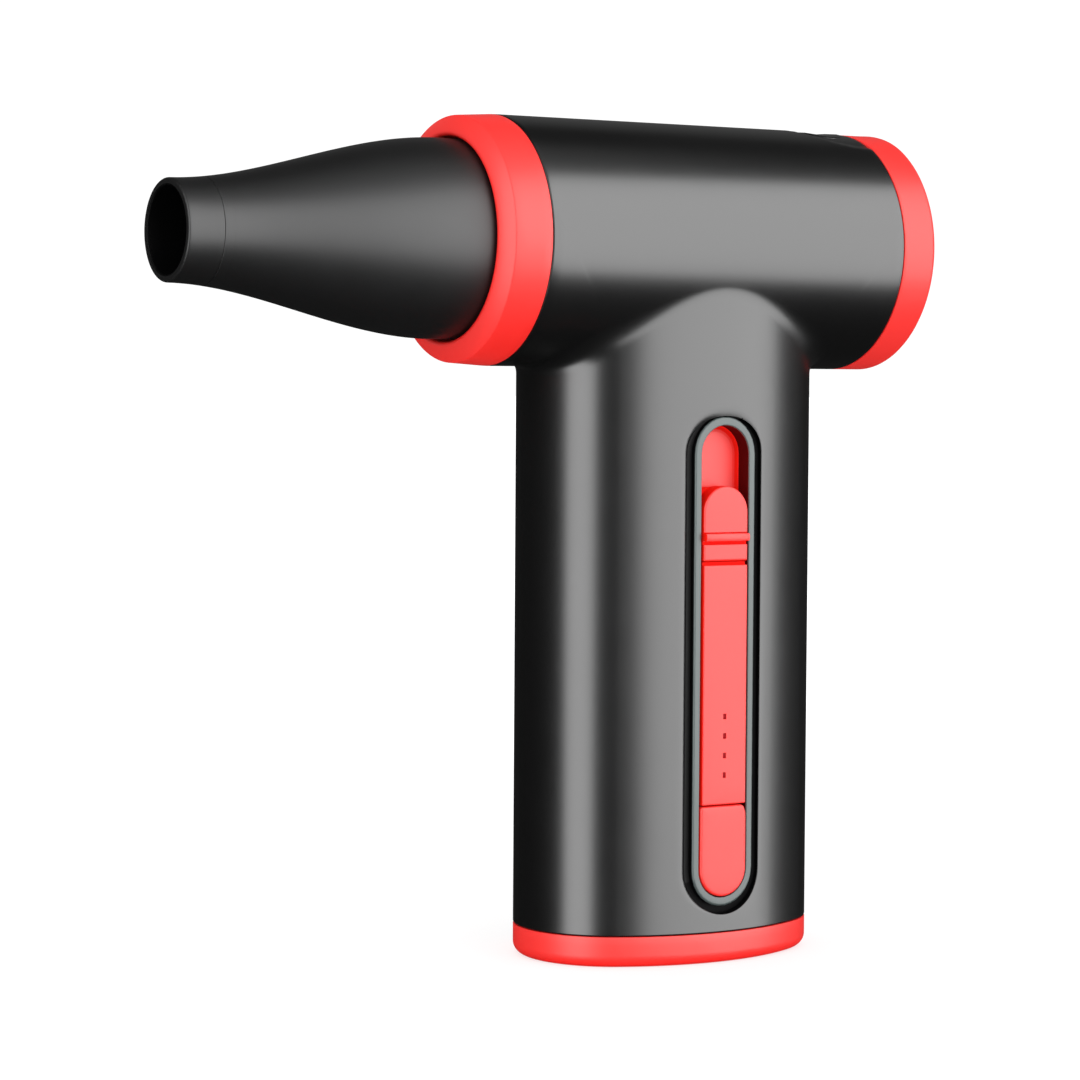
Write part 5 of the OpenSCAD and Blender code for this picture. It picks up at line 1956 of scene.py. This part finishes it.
CARRIED = Carried({
    "filter_frame": GREY_PART, "nozzle_seal": RUBBER, "fan_duct": GREY_PART,
    "duct_damper": FOAM, "stator_vanes": GREY_PART,
    "impeller_spinner": ALLOY, "motor_shaft": STEEL, "motor_bell": ROTOR_STEEL,
    "rotor_magnets": ROTOR_STEEL, "stator_core": LAMINATED, "stator_windings": COPPER,
    "front_bearing": STEEL, "rear_bearing": STEEL, "tail_cone": GREY_PART,
    "slider_pot": CHIP, "pot_lever": PLATED,
    "flap_hinge_pin": STEEL, "usb_socket": STEEL, "usb_tongue": CHIP,
    "control_board": GREEN, "leds": LAMP_CHIP, "driver_board": GREEN,
    "driver_mosfets": CHIP, "driver_capacitor": CAN, "heat_sink": ALLOY,
    "battery_cells": WRAP, "cell_rings": PAPER, "battery_cradle": GREY_PART,
    "nickel_strips": PLATED, "cradle_pads": FOAM, "battery_leads": WIRE_RED,
    "signal_cable": RIBBON, "motor_leads": WIRE_BLACK,
    "tact_switch": PLATED, "switch_board": FLEX,
})


# ---------------------------------------------------------------- studio

class Lights(Enum):
    """What a panel does: it lights matt surfaces, or shows in shiny ones."""

    MATT = "matt"
    SHINE = "shine"


@dataclass(frozen=True)
class Panel:
    """A soft light panel, aimed at the part."""

    name: str
    lights: Lights
    azimuth: float
    elevation: float
    distance: float
    width: float
    height: float
    radiance: float

    def build(self, centre: Vector) -> bpy.types.Object:
        """Hang the panel.

        Args:
            centre: the point it faces, in metres.

        Returns:
            The lamp.
        """
        lamp = bpy.data.lights.new(self.name, "AREA")
        lamp.shape = "RECTANGLE"
        lamp.size, lamp.size_y = self.width, self.height
        lamp.energy = self.radiance * math.pi * self.width * self.height
        a, e = math.radians(self.azimuth), math.radians(self.elevation)
        way = Vector((math.cos(a) * math.cos(e), math.sin(a) * math.cos(e), math.sin(e)))
        piece = linked(self.name, lamp)
        piece.location = centre + way * self.distance
        piece.rotation_euler = (-way).to_track_quat("-Z", "Y").to_euler()
        piece.visible_camera = False
        piece.visible_diffuse = self.lights is Lights.MATT
        piece.visible_glossy = self.lights is Lights.SHINE
        return piece


@dataclass(frozen=True)
class Studio:
    """Camera, floor, surroundings and light panels."""

    azimuth: float = 32.044
    pitch: float = 2.654
    roll: float = 0.353
    spot: tuple[float, float, float] = (-420.6, -620.3, 126.1)
    sensor: float = 36.0
    focal: float = 3356.8 / 1080 * 36
    aim: tuple[float, float, float] = (-0.01, 0.0, 0.11)
    floor_size: float = 30.0
    floor_pale: float = 0.72
    floor_seen: float = 0.34
    matt_level: float = 1.08
    shine_level: float = 0.021
    panels: tuple[Panel, ...] = (
        Panel("front_shine", Lights.SHINE, -62.8, 13.9, 1.1, 1.93, 1.7, 3.7),
        Panel("side_shine", Lights.SHINE, -161, 7, 1.1, 0.7, 1.8, 4.15),
        Panel("top_shine", Lights.SHINE, -80, 72, 1.2, 1.4, 0.7, 0.3),
        Panel("back_shine", Lights.SHINE, 58, 27, 1.2, 2.2, 0.75, 0.12),
        Panel("key_light", Lights.MATT, -100, 30, 1.2, 1.2, 1.2, 0.7),
        Panel("fill_light", Lights.MATT, -170, 10, 1.4, 1.2, 1.2, 0.6),
        Panel("low_fill", Lights.MATT, -100, -42, 1.2, 1.6, 0.9, 1.5),
    )

    def camera(self) -> None:
        """Set up the camera."""
        a, e, t = map(math.radians, (self.azimuth, self.pitch, self.roll))
        ahead = Vector((math.sin(a) * math.cos(e), math.cos(a) * math.cos(e), -math.sin(e)))
        level = Vector((math.cos(a), -math.sin(a), 0))
        above = level.cross(ahead)
        right = level * math.cos(t) + above * math.sin(t)
        up = above * math.cos(t) - level * math.sin(t)
        data = bpy.data.cameras.new("camera")
        data.sensor_width, data.lens = self.sensor, self.focal
        data.clip_start, data.clip_end = 0.02, 60
        piece = linked("camera", data)
        spin = Matrix((right, up, -ahead)).transposed().to_4x4()
        piece.matrix_world = Matrix.Translation(Vector(self.spot) * MM) @ spin
        bpy.context.scene.camera = piece

    def floor(self) -> None:
        """Lay the plain pale floor: white to the eye, with the part's soft shadow on it."""
        size = self.floor_size
        mesh = bpy.data.meshes.new("floor")
        mesh.from_pydata([(-size, -size, 0), (size, -size, 0), (size, size, 0), (-size, size, 0)],
                         [], [(0, 1, 2, 3)])
        sheet = NodeSheet("pale_floor")
        inputs = sheet.shader.inputs
        inputs["Roughness"].default_value = 0.9
        inputs["Specular IOR Level"].default_value = 0.0
        inputs["Emission Color"].default_value = (1, 1, 1, 1)
        seen = self.seen(sheet.tree)
        pale = sheet.add("ShaderNodeMix", data_type="RGBA", A=(*[self.floor_pale] * 3, 1),
                         B=(*[self.floor_seen] * 3, 1))
        sheet.join(seen, pale.inputs["Factor"])
        sheet.join(pale.outputs["Result"], inputs["Base Color"])
        away = sheet.add("ShaderNodeVectorMath", operation="LENGTH")
        sheet.join(sheet.place.outputs["Object"], away.inputs[0])
        span = sheet.add("ShaderNodeMapRange", From_Min=0.14, From_Max=0.55, To_Min=0.7,
                         To_Max=1.0)
        sheet.join(away.outputs["Value"], span.inputs["Value"])
        strength = sheet.add("ShaderNodeMath", operation="MULTIPLY")
        sheet.join(span.outputs["Result"], strength.inputs[0])
        sheet.join(seen, strength.inputs[1])
        sheet.join(strength.outputs[0], inputs["Emission Strength"])
        mesh.materials.append(sheet.material)
        piece = linked("floor", mesh)
        piece.visible_glossy = False
        piece.visible_shadow = False

    @staticmethod
    def seen(tree: bpy.types.NodeTree) -> bpy.types.NodeSocket:
        """1 for rays from the camera, straight or through something clear, and 0 for others.

        Args:
            tree: the node tree to add to.

        Returns:
            The value's socket.
        """
        path = tree.nodes.new("ShaderNodeLightPath")
        either = tree.nodes.new("ShaderNodeMath")
        either.operation = "MAXIMUM"
        tree.links.new(path.outputs["Is Camera Ray"], either.inputs[0])
        tree.links.new(path.outputs["Is Transmission Ray"], either.inputs[1])
        return either.outputs[0]

    def surroundings(self) -> None:
        """White behind the part, dim to matt surfaces and dark in shiny ones."""
        world = bpy.data.worlds.new("surroundings")
        world.use_nodes = True
        bpy.context.scene.world = world
        tree = world.node_tree
        back = tree.nodes["Background"]
        path = tree.nodes.new("ShaderNodeLightPath")
        dim = tree.nodes.new("ShaderNodeMapRange")
        dim.inputs["To Min"].default_value = self.matt_level
        dim.inputs["To Max"].default_value = self.shine_level
        tree.links.new(path.outputs["Is Glossy Ray"], dim.inputs["Value"])
        level = tree.nodes.new("ShaderNodeMath")
        level.operation = "MAXIMUM"
        tree.links.new(dim.outputs["Result"], level.inputs[0])
        tree.links.new(self.seen(tree), level.inputs[1])
        tree.links.new(level.outputs[0], back.inputs["Strength"])
        back.inputs["Color"].default_value = (1, 1, 1, 1)

    def build(self) -> None:
        """Set up everything round the part."""
        self.camera()
        self.floor()
        self.surroundings()
        for panel in self.panels:
            panel.build(Vector(self.aim))
        bpy.context.scene.view_settings.view_transform = "Standard"


def main() -> None:
    """Build the part's pieces in order, dress them and set up the studio."""
    logging.basicConfig(level=logging.INFO, format="%(name)s: %(message)s")
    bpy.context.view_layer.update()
    Studio().build()
    for maker in (Housing(), FrontRing(), RearRing(), Nozzle(), BaseCap(), ControlStrip(),
                  PowerButton(), FanWheel(), Grille(), BaseScrews(), LightPins(),
                  ButtonSpring()):
        maker.build()
    CARRIED.dress()


if __name__ == "__main__":
    main()
